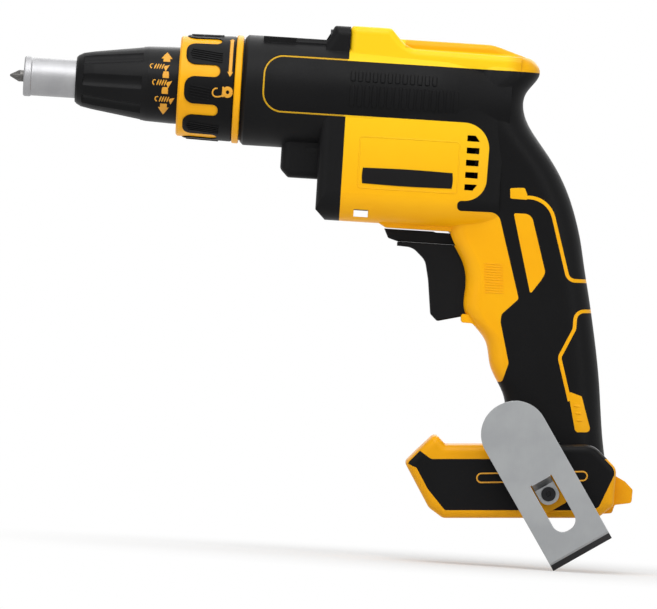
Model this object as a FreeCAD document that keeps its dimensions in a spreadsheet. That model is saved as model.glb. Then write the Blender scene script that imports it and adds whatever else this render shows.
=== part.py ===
import FreeCAD, Part
import math
import os
import re
import Sketcher
from fcgear import fcgear, involute

# Cordless drywall screwdriver without its battery, millimetres.
# X runs from the bit tip back along the spindle, Z is up, the side shown in the photo faces -Y.

os.makedirs("parts", exist_ok=True)
doc = FreeCAD.newDocument("drywall_screwdriver")
sheet = doc.addObject("Spreadsheet::Sheet", "dim")

SIZES = {
    # fits
    "fit_gap": 0.05, "run_gap": 0.1, "skin": 1.4, "wall": 4.0,
    # driver bit, holder and spindle
    "hex_flats": 6.35, "bit_point": 4.5, "bit_neck": 9, "bit_neck_r": 2.9, "bit_len": 25, "bit_wing": 0.55,
    "holder_front": 10, "holder_round": 30, "holder_od": 11, "holder_shank": 35, "magnet_len": 4,
    "spindle_r": 6.5, "spindle_front": 62, "flange_r": 12, "flange_t": 4.9,
    "dog_in": 7.4, "dog_out": 11.6, "dog_half": 2.6, "dog_tall": 2.5, "clutch_gap": 0.5,
    "clutch_travel": 2.6,
    "spring_wire": 0.8, "spring_r": 4.6, "washer_t": 1.5, "washer_r": 11.5,
    # depth nose
    "sleeve_front": 7, "sleeve_len": 53, "sleeve_r": 9.5, "sleeve_bore": 7, "sleeve_bead": 0.5,
    "sleeve_flange_r": 11.3, "sleeve_flange_t": 8, "depth_travel": 3,
    "cone_show": 26, "cone_len": 63, "cone_nose_r": 12.2, "cone_r": 19.2, "cone_taper": 36,
    "flute_count": 8, "flute_r": 5, "flute_deep": 1.3, "flute_tilt": 8.2,
    "collar_at": 51.4, "collar_len": 31.4, "collar_r": 25, "collar_rim_r": 27, "collar_rim": 3.4,
    "collar_band": 3.1, "pad_deep": 1.6, "pad_len": 17.5, "finger_half": 3.2, "finger_count": 8,
    "finger_root": 5,
    "collar_phase": 27, "collar_gap": 0.8,
    # gear case and gear pair
    "case_len": 52.1, "case_r": 27.6, "case_bore_r": 23.4, "case_front": 4.4, "boss_len": 11.4,
    "spigot_r": 13, "spigot_bore": 9, "spigot_len": 36.6,
    "gear_module": 0.9, "gear_teeth": 48, "pinion_teeth": 12, "pressure_angle": 25, "mesh_slack": 0.12,
    "gear_face": 7.5, "hub_r": 6, "gear_shaft_r": 4, "pilot_r": 3, "pilot_deep": 16,
    "plate_at": 10, "plate_t": 7, "plate_lobe_r": 12.4, "bearing_r": 9.5, "bearing_w": 5,
    "nub_half": 12.5, "nub_low": 42.3, "nub_len": 31, "block_half": 25.4, "block_low": 62.3,
    "block_len": 12.2,
    "ear_half": 17, "ear_top": 34.6, "ear_len": 11.8, "rail_top_half": 13, "case_edge": 5,
    # brushless motor
    "motor_r": 22, "stator_at": 11.3, "stator_len": 32, "stator_bore": 12, "rotor_r": 11.4, "magnet_t": 2.4,
    "coil_out": 6, "board_t": 1.6, "fan_at": 55.3, "fan_len": 12, "fan_r": 19.6, "fan_blades": 11,
    "shaft_r": 4, "shaft_end_r": 2.5, "rear_at": 68.6, "rear_r": 8, "rear_w": 5,
    # housing
    "barrel_r": 27.5, "tongue_len": 42.1, "tongue_top": 18.1, "tongue_low": 10.6, "tongue_floor": 25,
    "rim_line": 0.8, "roof_half": 17, "through": 40, "roof_low": 25.4, "ridge_half": 10, "ridge_top": 30,
    "motor_half": 25.4, "motor_low": 62.3, "motor_corner": 14, "belly_drop": 2,
    "vent_at": 61.3, "vent_w": 6.3, "vent_h": 3, "vent_pitch": 6.1, "vent_top": 16, "vent_slant": 2.2,
    "screw_r": 2, "screw_head_r": 3.8, "screw_head_t": 3, "screw_seat": 9, "screw_deep": 9, "post_r": 4.6,
    # trigger group
    "trigger_half": 8, "trigger_travel": 6, "lever_half": 4.2, "lever_at": 69.3, "lever_room_half": 11.5,
    "pin_r": 1.5, "switch_at": 84.3, "switch_len": 28, "switch_half": 10.5, "plunger_r": 3,
    # foot, terminals and hook
    "foot_x": 99.7, "foot_z": 204.5, "foot_tilt": 3.6, "foot_half": 32, "foot_round": 4,
    "rail_half": 23, "rail_mouth": 20.5, "rail_lip": 4, "rail_deep": 15,
    "blade_pitch": 7.4, "blade_t": 0.8,
    "hook_half": 16.7, "hook_up": 50.7, "hook_down": 30.4, "hook_t": 2, "hook_gap": 9, "hook_turn": 33.1,
    "hook_x": 112.4, "hook_z": 191.7, "hook_window": 12, "hook_pad": 1.5, "hook_bolt_r": 2, "nut_r": 3.2,
}

# Handle stations from the top down: height, front and rear measured from the seam, half width.
STATIONS = [(24.5, 68, 89.8, 14), (20, 64, 95, 16.6), (14, 62, 94.4, 18.6), (7, 60, 89.4, 20),
    (0, 58, 88.3, 20.5), (-8, 58, 91, 20.3), (-17, 58, 97.3, 19.8), (-27, 57, 104.9, 19),
    (-39, 56.5, 112, 18), (-52, 56, 117.3, 17.2), (-65, 55.2, 121.1, 16.6), (-78, 62.2, 123.8, 16.2),
    (-91, 65, 126.7, 16), (-104, 65.6, 129.4, 15.8), (-117, 76.4, 131.9, 15.8), (-130, 80, 134.1, 15.8),
    (-143, 87, 135.8, 16), (-156, 88.8, 137.3, 16.5), (-169, 89.2, 139.3, 17.2), (-181, 89.2, 141.8, 18),
    ]
for number, station in enumerate(STATIONS, 1):
    for part_name, size in zip(("z", "front", "rear", "half"), station):
        SIZES[f"grip_{part_name}_{number}s"] = size

for row, (name, size) in enumerate(SIZES.items(), 1):
    sheet.set(f"A{row}", name)
    sheet.set(f"B{row}", str(size))
    sheet.setAlias(f"B{row}", name)
doc.recompute()

NAMES = re.compile(r"\b(" + "|".join(sorted(SIZES, key=len, reverse=True)) + r")\b")


def formula(text):
    return NAMES.sub(r"dim.\1", str(text))


def value(text):
    return float(sheet.evalExpression(formula(text)))


def bind(item, prop, text):
    item.setExpression(prop, formula(text))


# Stations along X, each built from the one in front of it.
SLEEVE_END = "(sleeve_front + sleeve_len)"
CONE_X = "(sleeve_front + cone_show)"
CONE_END = f"({CONE_X} + cone_len)"
COLLAR_X = f"({CONE_X} + collar_at)"
COLLAR_END = f"({COLLAR_X} + collar_len)"
CASE_X = f"({COLLAR_END} + collar_gap)"
SEAM = f"({CASE_X} + case_len)"
SPIGOT_X = f"({CASE_X} - spigot_len)"
CAVITY_X = f"({CASE_X} + case_front)"
WASHER_X = f"({CASE_X} + boss_len)"
FLANGE_X = f"({WASHER_X} + washer_t + run_gap)"
DOG_X = f"({FLANGE_X} + flange_t)"
GEAR_X = f"({DOG_X} + 2 * dog_tall + clutch_gap)"
PLATE_X = f"({GEAR_X} + plate_at)"
PLATE_END = f"({PLATE_X} + plate_t)"
STATOR_X = f"({SEAM} + stator_at)"
STATOR_END = f"({STATOR_X} + stator_len)"
FAN_X = f"({SEAM} + fan_at)"
REAR_X = f"({SEAM} + rear_at)"
CENTRES = "(gear_module * (gear_teeth + pinion_teeth) / 2 + mesh_slack)"


def from_seam(points):
    """Turns side-view points measured from the seam into outline corners."""
    return [(f"{SEAM} + {p[0]}", *p[1:]) for p in points]


def outline(sketch, corners):
    """Draws a closed outline; a third entry in a corner is its rounding radius."""
    spots = [FreeCAD.Vector(value(c[0]), value(c[1]), 0) for c in corners]
    count = len(corners)
    starts, ends, arcs = [], [], []
    for i, corner in enumerate(corners):
        here, before, after = spots[i], spots[i - 1], spots[(i + 1) % count]
        if len(corner) < 3:
            starts.append(here)
            ends.append(here)
            arcs.append(None)
            continue
        radius = value(corner[2])
        back = (before - here).normalize()
        ahead = (after - here).normalize()
        half = back.getAngle(ahead) / 2
        reach = radius / math.tan(half)
        centre = here + (back + ahead).normalize() * (radius / math.sin(half))
        left = (here - before).cross(after - here).z > 0
        ends.append(here + back * reach)
        starts.append(here + ahead * reach)
        arcs.append((centre, radius, left))
    lines = [sketch.addGeometry(Part.LineSegment(starts[i], ends[(i + 1) % count])) for i in range(count)]
    for i, corner in enumerate(corners):
        line_in, line_out = lines[i - 1], lines[i]
        if arcs[i] is None:
            sketch.addConstraint(Sketcher.Constraint("Coincident", line_in, 2, line_out, 1))
            place(sketch, line_out, corner)
            continue
        centre, radius, left = arcs[i]
        first, last = (ends[i], starts[i]) if left else (starts[i], ends[i])
        circle = Part.Circle(centre, FreeCAD.Vector(0, 0, 1), radius)
        angle_a = math.atan2(first.y - centre.y, first.x - centre.x)
        angle_b = math.atan2(last.y - centre.y, last.x - centre.x)
        arc = sketch.addGeometry(Part.ArcOfCircle(circle, angle_a, angle_b))
        point = sketch.addGeometry(Part.Point(spots[i]), True)
        place(sketch, point, corner)
        sketch.addConstraint(Sketcher.Constraint("PointOnObject", point, 1, line_in))
        sketch.addConstraint(Sketcher.Constraint("PointOnObject", point, 1, line_out))
        near, far = (1, 2) if left else (2, 1)
        sketch.addConstraint(Sketcher.Constraint("Tangent", line_in, 2, arc, near))
        sketch.addConstraint(Sketcher.Constraint("Tangent", arc, far, line_out, 1))
        number = sketch.addConstraint(Sketcher.Constraint("Radius", arc, radius))
        bind(sketch, f"Constraints[{number}]", corner[2])
    return sketch


def place(sketch, geometry, corner):
    for kind, text in (("DistanceX", corner[0]), ("DistanceY", corner[1])):
        number = sketch.addConstraint(Sketcher.Constraint(kind, -1, 1, geometry, 1, value(text)))
        bind(sketch, f"Constraints[{number}]", text)


def ring(sketch, radius, across="0", up="0"):
    """Draws a circle with bound centre and radius."""
    centre = FreeCAD.Vector(value(across), value(up), 0)
    circle = sketch.addGeometry(Part.Circle(centre, FreeCAD.Vector(0, 0, 1), value(radius)))
    number = sketch.addConstraint(Sketcher.Constraint("Radius", circle, value(radius)))
    bind(sketch, f"Constraints[{number}]", radius)
    for kind, text in (("DistanceX", across), ("DistanceY", up)):
        number = sketch.addConstraint(Sketcher.Constraint(kind, -1, 1, circle, 3, value(text)))
        bind(sketch, f"Constraints[{number}]", text)
    return sketch


def hexagon(sketch, flats):
    side = f"({flats}) / 2 / sqrt(3)"
    half = f"({flats}) / 2"
    corners = [(half, f"-{side}"), (half, side), ("0", f"2 * {side}"), (f"-{half}", side),
        (f"-{half}", f"-{side}"), ("0", f"-2 * {side}")]
    return outline(sketch, corners)


class Piece:
    """A body with its own sketches and features."""

    def __init__(self, label):
        self.label = label
        self.body = doc.addObject("PartDesign::Body", label)
        self.body.Label = label
        self.planes = {f.Role: f for f in self.body.Origin.OriginFeatures}
        self.steps = 0

    def name(self, what):
        self.steps += 1
        return f"{self.label}_{what}{self.steps}"

    def sketch(self, plane, offset=None):
        item = self.body.newObject("Sketcher::SketchObject", self.name("sketch"))
        item.AttachmentSupport = [(self.planes[plane], "")]
        item.MapMode = "FlatFace"
        if offset is not None:
            bind(item, "AttachmentOffset.Base.z", offset)
        return item

    def feature(self, kind, sketch, **bound):
        item = self.body.newObject(f"PartDesign::{kind}", self.name(kind.lower()))
        item.Profile = sketch
        for prop, text in bound.items():
            bind(item, prop, text)
        return item

    def turn(self, corners, kind="Revolution"):
        """Revolves an outline of (x, radius) corners about the X axis."""
        sketch = outline(self.sketch("XZ_Plane"), corners)
        item = self.feature(kind, sketch)
        item.ReferenceAxis = (sketch, ["H_Axis"])
        item.Angle = 360
        return item

    def side(self, corners, half, kind="Pad"):
        """Pads a side-view outline equally to both sides of the middle plane."""
        item = self.feature(kind, outline(self.sketch("XZ_Plane"), corners), Length=f"2 * ({half})")
        item.SideType = "Symmetric"
        return item

    def along(self, x, length, draw, kind="Pad", back=False):
        """Pads or pockets a cross-section drawn at x for a length toward +X."""
        sketch = self.sketch("YZ_Plane", x)
        draw(sketch)
        item = self.feature(kind, sketch, Length=length)
        item.Reversed = (kind == "Pocket") != back
        return item

    def polar(self, base, count):
        item = self.body.newObject("PartDesign::PolarPattern", self.name("pattern"))
        item.Originals = [base]
        item.Axis = (self.planes["X_Axis"], [""])
        item.Angle = 360
        bind(item, "Occurrences", count)
        self.body.Tip = item
        return item

    def round(self, radius, wanted, kind="Fillet"):
        """Rounds the edges of the tip that the test picks."""
        doc.recompute()
        base = self.body.Tip
        edges = [f"Edge{i}" for i, edge in enumerate(base.Shape.Edges, 1) if wanted(edge)]
        item = self.body.newObject(f"PartDesign::{kind}", self.name("round"))
        item.Base = (base, edges)
        bind(item, "Radius" if kind == "Fillet" else "Size", radius)
        return item

    def move(self, x="0", y="0", z="0", axis=None, angle=None):
        for letter, text in zip("xyz", (x, y, z)):
            bind(self.body, f"Placement.Base.{letter}", text)
        if axis:
            self.body.Placement = FreeCAD.Placement(FreeCAD.Vector(),
                FreeCAD.Rotation(axis, value(angle)))
            bind(self.body, "Placement.Rotation.Angle", angle)
        return self


def turned(label, corners):
    piece = Piece(label)
    piece.turn(corners)
    return piece


def slab(label, corners, half):
    piece = Piece(label)
    piece.side(corners, half)
    return piece


def plan(label, corners, low, tall):
    """Pads a top-view outline upward from a height."""
    piece = Piece(label)
    piece.feature("Pad", outline(piece.sketch("XY_Plane", low), corners), Length=tall)
    return piece


def solid_of(item):
    return item.body if isinstance(item, Piece) else item


def cut(label, base, tool):
    item = doc.addObject("Part::Cut", label)
    item.Label = label
    item.Base = solid_of(base)
    item.Tool = solid_of(tool)
    return item


def common(label, base, tool):
    item = doc.addObject("Part::Common", label)
    item.Label = label
    item.Base = solid_of(base)
    item.Tool = solid_of(tool)
    return item


def fuse(label, *shapes):
    item = doc.addObject("Part::MultiFuse", label)
    item.Label = label
    item.Shapes = [solid_of(s) for s in shapes]
    return item


def rod(label, radius, length, x, y, z, direction):
    """A cylinder from a point along one axis direction."""
    item = doc.addObject("Part::Cylinder", label)
    item.Label = label
    bind(item, "Radius", radius)
    bind(item, "Height", length)
    item.Placement = FreeCAD.Placement(FreeCAD.Vector(),
        FreeCAD.Rotation(FreeCAD.Vector(0, 0, 1), FreeCAD.Vector(*direction)))
    for letter, text in zip("xyz", (x, y, z)):
        bind(item, f"Placement.Base.{letter}", text)
    return item


def block(label, x, y, z, dx, dy, dz):
    item = doc.addObject("Part::Box", label)
    item.Label = label
    for prop, text in (("Length", dx), ("Width", dy), ("Height", dz)):
        bind(item, prop, text)
    for letter, text in zip("xyz", (x, y, z)):
        bind(item, f"Placement.Base.{letter}", text)
    return item


nodes = {}


def keep(label, item):
    """Marks a finished piece as one of the assembly's nodes."""
    item = solid_of(item)
    item.Label = label
    nodes[label] = item
    return item


def lying(axis_test):
    """Edge test: straight edges along one axis."""
    index = "XYZ".index(axis_test)

    def wanted(edge):
        if not isinstance(edge.Curve, Part.Line):
            return False
        span = edge.Vertexes[-1].Point - edge.Vertexes[0].Point
        return abs(span[index]) > 0.999 * span.Length
    return wanted


def on_flank(edge, half):
    """Edge test: edges in the two side planes at a half width."""
    return abs(abs(edge.CenterOfMass.y) - value(half)) < 0.01


# Driver bit, its holder and the spindle.

def driver_group():
    bit = turned("driver_bit", [("0", "0"), ("0", "0.5"), ("bit_point", "bit_neck_r"),
        ("bit_neck", "bit_neck_r"), ("bit_neck", "0")])
    bit.along("bit_neck", "bit_len - bit_neck", lambda s: hexagon(s, "hex_flats"))
    wing = [("bit_wing", "bit_wing"), ("bit_neck_r + 1", "bit_wing"),
        ("bit_neck_r + 1", "bit_neck_r + 1"), ("bit_wing", "bit_neck_r + 1")]
    notch = bit.along("0", "bit_point + 0.6", lambda s: outline(s, wing), "Pocket")
    bit.polar(notch, "4")
    keep("driver_bit", bit)

    end = "(holder_front + holder_round)"
    holder = turned("bit_holder", [("holder_front", "0"), ("holder_front", "holder_od / 2 - 0.8"),
        ("holder_front + 0.8", "holder_od / 2"), (end, "holder_od / 2"), (end, "0")])
    holder.along(end, "holder_shank", lambda s: hexagon(s, "hex_flats"))
    holder.along("holder_front", "bit_len - holder_front + magnet_len + 2 * fit_gap",
        lambda s: hexagon(s, "hex_flats + 2 * fit_gap"), "Pocket")
    holder.turn([(f"{end} - 9", "holder_od / 2 - 0.5"), (f"{end} - 9", "holder_od / 2 + 1"),
        (f"{end} - 7.4", "holder_od / 2 + 1"), (f"{end} - 7.4", "holder_od / 2 - 0.5")], "Groove")
    keep("bit_holder", holder)

    keep("bit_magnet", turned("bit_magnet", [("bit_len + fit_gap", "0"),
        ("bit_len + fit_gap", "hex_flats / 2 - fit_gap"),
        ("bit_len + fit_gap + magnet_len", "hex_flats / 2 - fit_gap"),
        ("bit_len + fit_gap + magnet_len", "0")]))

    spindle = turned("spindle", [("spindle_front", "0"), ("spindle_front", "spindle_r - 0.8"),
        ("spindle_front + 0.8", "spindle_r"), (FLANGE_X, "spindle_r"), (FLANGE_X, "flange_r"),
        (DOG_X, "flange_r"), (DOG_X, "0")])
    spindle.along("spindle_front", "holder_front + holder_round + holder_shank - spindle_front + 1",
        lambda s: hexagon(s, "hex_flats + 2 * fit_gap"), "Pocket")
    dog = [("-dog_half", "dog_in"), ("dog_half", "dog_in"), ("dog_half", "dog_out"),
        ("-dog_half", "dog_out")]
    tooth = spindle.along(DOG_X, "dog_tall", lambda s: outline(s, dog))
    spindle.polar(tooth, "4")
    spindle.along(f"{DOG_X} - 8", "12", lambda s: ring(s, "spring_r + spring_wire / 2 + 0.6"), "Pocket")
    spindle.along(f"{DOG_X} - pilot_deep", "pilot_deep + 4", lambda s: ring(s, "pilot_r + fit_gap"),
        "Pocket")
    keep("spindle", spindle)

    keep("thrust_washer", turned("thrust_washer", [(f"{WASHER_X} + run_gap / 2", "spindle_r + fit_gap"),
        (f"{WASHER_X} + run_gap / 2", "washer_r"), (f"{WASHER_X} + run_gap / 2 + washer_t", "washer_r"),
        (f"{WASHER_X} + run_gap / 2 + washer_t", "spindle_r + fit_gap")]))

    spring = Piece("clutch_spring")
    sketch = spring.sketch("XZ_Plane")
    ring(sketch, "spring_wire / 2", f"{DOG_X} - 8 + spring_wire / 2 + fit_gap", "spring_r")
    coil = spring.feature("AdditiveHelix", sketch)
    coil.ReferenceAxis = (sketch, ["H_Axis"])
    coil.Mode = "height-turns-angle"
    bind(coil, "Height", f"{GEAR_X} - {DOG_X} + 8 - spring_wire - 2 * fit_gap")
    coil.Turns = 6
    keep("clutch_spring", spring)


# Depth-setting nose: steel sleeve, fluted cone and lock collar.

def nose_group():
    bead = "sleeve_r + sleeve_bead"
    keep("nose_sleeve", turned("nose_sleeve", [("sleeve_front", "sleeve_bore"),
        ("sleeve_front", f"{bead} - 0.6"), ("sleeve_front + 0.6", bead), ("sleeve_front + 3.4", bead),
        ("sleeve_front + 4", "sleeve_r"), (f"{SLEEVE_END} - sleeve_flange_t - 2", "sleeve_r"),
        (f"{SLEEVE_END} - sleeve_flange_t - 2", "sleeve_flange_r"),
        (f"{SLEEVE_END} - 2", "sleeve_flange_r"), (f"{SLEEVE_END} - 2", "sleeve_r"),
        (SLEEVE_END, "sleeve_r"), (SLEEVE_END, "sleeve_bore")]))

    lip = "sleeve_r + 3 * run_gap"
    flange = "sleeve_flange_r + 3 * run_gap"
    pocket_a = f"{SLEEVE_END} - sleeve_flange_t - 2 - depth_travel - 1"
    seat = f"{SPIGOT_X} - 2"
    cone = turned("depth_cone", [(CONE_X, lip), (CONE_X, "cone_nose_r - 1"),
        (f"{CONE_X} + 1", "cone_nose_r"), (f"{CONE_X} + 4", "cone_nose_r + 1.6"),
        (f"{CONE_X} + 9", "cone_nose_r + 2.6"), (f"{CONE_X} + cone_taper", "cone_r - 0.5"),
        (f"{CONE_X} + cone_taper + 12", "cone_r"), (CONE_END, "cone_r"),
        (CONE_END, "spigot_r + 2 * run_gap"), (seat, "spigot_r + 2 * run_gap"), (seat, flange),
        (pocket_a, flange), (pocket_a, lip)])
    doc.recompute()
    flute = cone.body.newObject("PartDesign::SubtractiveCylinder", "depth_cone_flute")
    bind(flute, "Radius", "flute_r")
    bind(flute, "Height", "cone_taper - 6")
    tilt = FreeCAD.Rotation(FreeCAD.Vector(0, 1, 0), value("90 - flute_tilt"))
    flute.Placement = FreeCAD.Placement(FreeCAD.Vector(), tilt)
    bind(flute, "Placement.Rotation.Angle", "90 - flute_tilt")
    bind(flute, "Placement.Base.x", f"{CONE_X} + 3")
    bind(flute, "Placement.Base.z", "cone_nose_r + 1.6 + flute_r - flute_deep")
    cone.polar(flute, "flute_count")
    keep("depth_cone", cone)

    front, rear = COLLAR_X, COLLAR_END
    pads_end = f"{rear} - collar_rim"
    body = turned("collar_form", [(front, "cone_r + 4 * run_gap"), (front, "collar_r - 0.9"),
        (f"{front} + 0.9", "collar_r"), (pads_end, "collar_r + 0.7"), (pads_end, "collar_rim_r - 0.5"),
        (f"{pads_end} + 0.5", "collar_rim_r"), (f"{rear} - 0.5", "collar_rim_r"),
        (rear, "collar_rim_r - 0.5"), (rear, "spigot_r + 3 * run_gap"),
        (f"{CONE_END} + 0.5", "spigot_r + 3 * run_gap"), (f"{CONE_END} + 0.5", "cone_r + 4 * run_gap")])
    pads = turned("collar_pads", [(f"{front} + collar_band", "collar_r - pad_deep"),
        (f"{front} + collar_band", "collar_r + 0.2"), (f"{front} + collar_band + 1.2", "collar_r + 0.8"),
        (f"{pads_end} - 0.8", "collar_r + 1.3"), (pads_end, "collar_r + 0.8"),
        (pads_end, "collar_r - pad_deep")])
    sketch = pads.sketch("XY_Plane", "collar_r - 6")
    tip = f"{front} + collar_band + pad_len"
    root = f"{front} + collar_band + 0.15"
    flank = "collar_r * sin(180 / finger_count) + 0.2"
    outline(sketch, [(f"{root} - 1", f"-({flank})"), (root, f"-({flank})"),
        (root, "-finger_half", "finger_root"), (tip, "-finger_half", "finger_half * 0.9"),
        (tip, "finger_half", "finger_half * 0.9"), (root, "finger_half", "finger_root"), (root, flank),
        (f"{root} - 1", flank)])
    finger = pads.feature("Pocket", sketch, Length="12")
    finger.Reversed = True
    pads.polar(finger, "finger_count")
    pads.move(axis=FreeCAD.Vector(1, 0, 0), angle="collar_phase")
    keep("lock_collar_grip", pads)
    keep("lock_collar", cut("lock_collar_core", body, pads))


# Gear case with its bearing plate, bush and seal.

def case_group():
    shell = turned("case_turned", [(SPIGOT_X, "spigot_bore + fit_gap"), (SPIGOT_X, "spigot_r - 0.6"),
        (f"{SPIGOT_X} + 0.6", "spigot_r"), (CASE_X, "spigot_r"), (CASE_X, "case_r - 1.6"),
        (f"{CASE_X} + 1.6", "case_r"), (SEAM, "case_r"), (SEAM, "0.5"), (WASHER_X, "0.5"),
        (WASHER_X, "spigot_bore + fit_gap")])
    nub = slab("case_nub", [(f"{SEAM} - nub_len", "-10"), (f"{SEAM} - nub_len", "4 - nub_low", "3"),
        (f"{SEAM} - nub_len + 4", "-nub_low", "2"), (f"{SEAM} - 8", "-nub_low"), (f"{SEAM} - 8", "-10")],
        "nub_half")
    nub.round("4", lambda e: lying("X")(e) and e.CenterOfMass.z < -value("nub_low") + 1)
    low = slab("case_low", [(f"{SEAM} - block_len", "-5"), (f"{SEAM} - block_len", "5 - block_low"),
        (f"{SEAM} - block_len + 5", "-block_low"), (SEAM, "-block_low"), (SEAM, "-5")], "block_half")
    low.round("motor_corner", lambda e: lying("X")(e) and e.CenterOfMass.z < -value("block_low") + 1)
    ear = slab("case_ear", [(f"{SEAM} - ear_len", "15"), (f"{SEAM} - ear_len", "ear_top - 7"),
        (f"{SEAM} - ear_len + 4", "ear_top", "1.5"), (SEAM, "ear_top"), (SEAM, "15")], "ear_half")
    ear.round("5", lambda e: lying("X")(e) and e.CenterOfMass.z > value("ear_top") - 1)
    rail = slab("case_rail", [(f"{CASE_X} + 9", "10"), (f"{CASE_X} + 9", "case_r - 0.3"),
        (f"{SEAM} - 2", "case_r - 0.3"), (f"{SEAM} - 2", "10")], "rail_top_half")
    fronts = []
    for part_name, item, length, half in (("nub", nub, "nub_len", "nub_half"),
            ("low", low, "block_len", "block_half")):
        above = plan(f"case_{part_name}_plan", [(f"{SEAM} - {length}", f"-{half}", "case_edge"),
            (SEAM, f"-{half}"), (SEAM, half), (f"{SEAM} - {length}", half, "case_edge")],
            "-block_low - 1", "block_low + 1")
        fronts.append(common(f"case_{part_name}_front", item, above))
    outer = fuse("case_outer", shell, *fronts, ear, rail)

    hollow = turned("case_hollow", [(CAVITY_X, "spigot_r"), (CAVITY_X, "case_bore_r"),
        (f"{SEAM} + 1", "case_bore_r"), (f"{SEAM} + 1", "0"), (WASHER_X, "0"), (WASHER_X, "spigot_r")])
    pinion_room = rod("case_pinion_room", "gear_module * (pinion_teeth + 2) / 2 + 0.9",
        f"{PLATE_X} - {GEAR_X} + 3", f"{GEAR_X} - 2", "0", f"-{CENTRES}", (1, 0, 0))
    lobe = rod("case_lobe_room", "plate_lobe_r + fit_gap", f"{SEAM} - {PLATE_X} + 1", PLATE_X, "0",
        f"-{CENTRES}", (1, 0, 0))
    side_band = turned("case_side_band", [(f"{SEAM} - tongue_len - run_gap", "tongue_floor"),
        (f"{SEAM} - tongue_len - run_gap", "case_r + 2"), (f"{SEAM} + 1", "case_r + 2"),
        (f"{SEAM} + 1", "tongue_floor")])
    side_cut = common("case_side_cut", side_band, tongue("case_tongue_room", "run_gap"))
    tools = [hollow, pinion_room, lobe, side_cut]
    for number, (across, up) in enumerate(CASE_SCREWS, 1):
        tools.append(rod(f"case_bolt_hole{number}", "screw_r + fit_gap", "40", f"{SEAM} - 30", across, up,
            (1, 0, 0)))
        tools.append(rod(f"case_bolt_pocket{number}", "screw_head_r + 0.3", "20", f"{SEAM} - 27", across,
            up, (1, 0, 0)))
    keep("gear_case", cut("gear_case_shell", outer, fuse("case_tools", *tools)))

    plate = Piece("bearing_plate")
    plate.along(PLATE_X, "plate_t", lambda s: ring(s, "case_bore_r - fit_gap"))
    plate.along(PLATE_X, "plate_t", lambda s: ring(s, "plate_lobe_r", "0", f"-{CENTRES}"))
    for up in ("0", f"-{CENTRES}"):
        plate.along(PLATE_X, "plate_t", lambda s: ring(s, "hub_r + 0.8", "0", up), "Pocket")
        plate.along(f"{PLATE_END} - bearing_w - 0.5", "bearing_w + 2",
            lambda s: ring(s, "bearing_r + fit_gap", "0", up), "Pocket")
    keep("bearing_plate", plate)

    keep("spindle_bush", turned("spindle_bush", [(f"{SPIGOT_X} + 8", "spindle_r + fit_gap"),
        (f"{SPIGOT_X} + 8", "spigot_bore"), (f"{SPIGOT_X} + 28", "spigot_bore"),
        (f"{SPIGOT_X} + 28", "spindle_r + fit_gap")]))
    keep("spindle_seal", turned("spindle_seal", [(f"{SPIGOT_X} + 1", "spindle_r + fit_gap"),
        (f"{SPIGOT_X} + 1", "spigot_bore"), (f"{SPIGOT_X} + 6", "spigot_bore"),
        (f"{SPIGOT_X} + 6", "spindle_r + fit_gap"), (f"{SPIGOT_X} + 4", "spindle_r + 1"),
        (f"{SPIGOT_X} + 3", "spindle_r + 1")]))


CASE_SCREWS = [("11", "29"), ("-11", "29"), ("17.5", "-54.5"), ("-17.5", "-54.5")]


def tongue(label, grow):
    """The side panel's outline over the gear case, as a prism through both sides."""
    return slab(label, [(f"{SEAM} - tongue_len - {grow}", f"-tongue_low - {grow}", "10"),
        (f"{SEAM} - tongue_len - {grow}", f"tongue_top + {grow}", "10"),
        (f"{SEAM} + 1", f"tongue_top + {grow}"), (f"{SEAM} + 1", f"-tongue_low - {grow}")], "through")


# Gear pair and brushless motor.

def toothed(label, teeth, x, length, up, turn_by):
    """An involute wheel extruded along X."""
    wire = fcgear.FCWireBuilder()
    involute.CreateExternalGear(wire, value("gear_module"), int(value(teeth)), value("pressure_angle"),
        split=True)
    shape = Part.Wire([w.toShape() for w in wire.wire])
    shape.rotate(FreeCAD.Vector(), FreeCAD.Vector(0, 0, 1), turn_by)
    shape.rotate(FreeCAD.Vector(), FreeCAD.Vector(0, 1, 0), 90)
    shape.translate(FreeCAD.Vector(value(x), 0, value(up)))
    rim = doc.addObject("Part::Feature", f"{label}_rim")
    rim.Shape = shape
    item = doc.addObject("Part::Extrusion", f"{label}_teeth")
    item.Base = rim
    item.DirMode = "Custom"
    item.Dir = FreeCAD.Vector(1, 0, 0)
    item.Solid = True
    bind(item, "LengthFwd", length)
    return item


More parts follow.
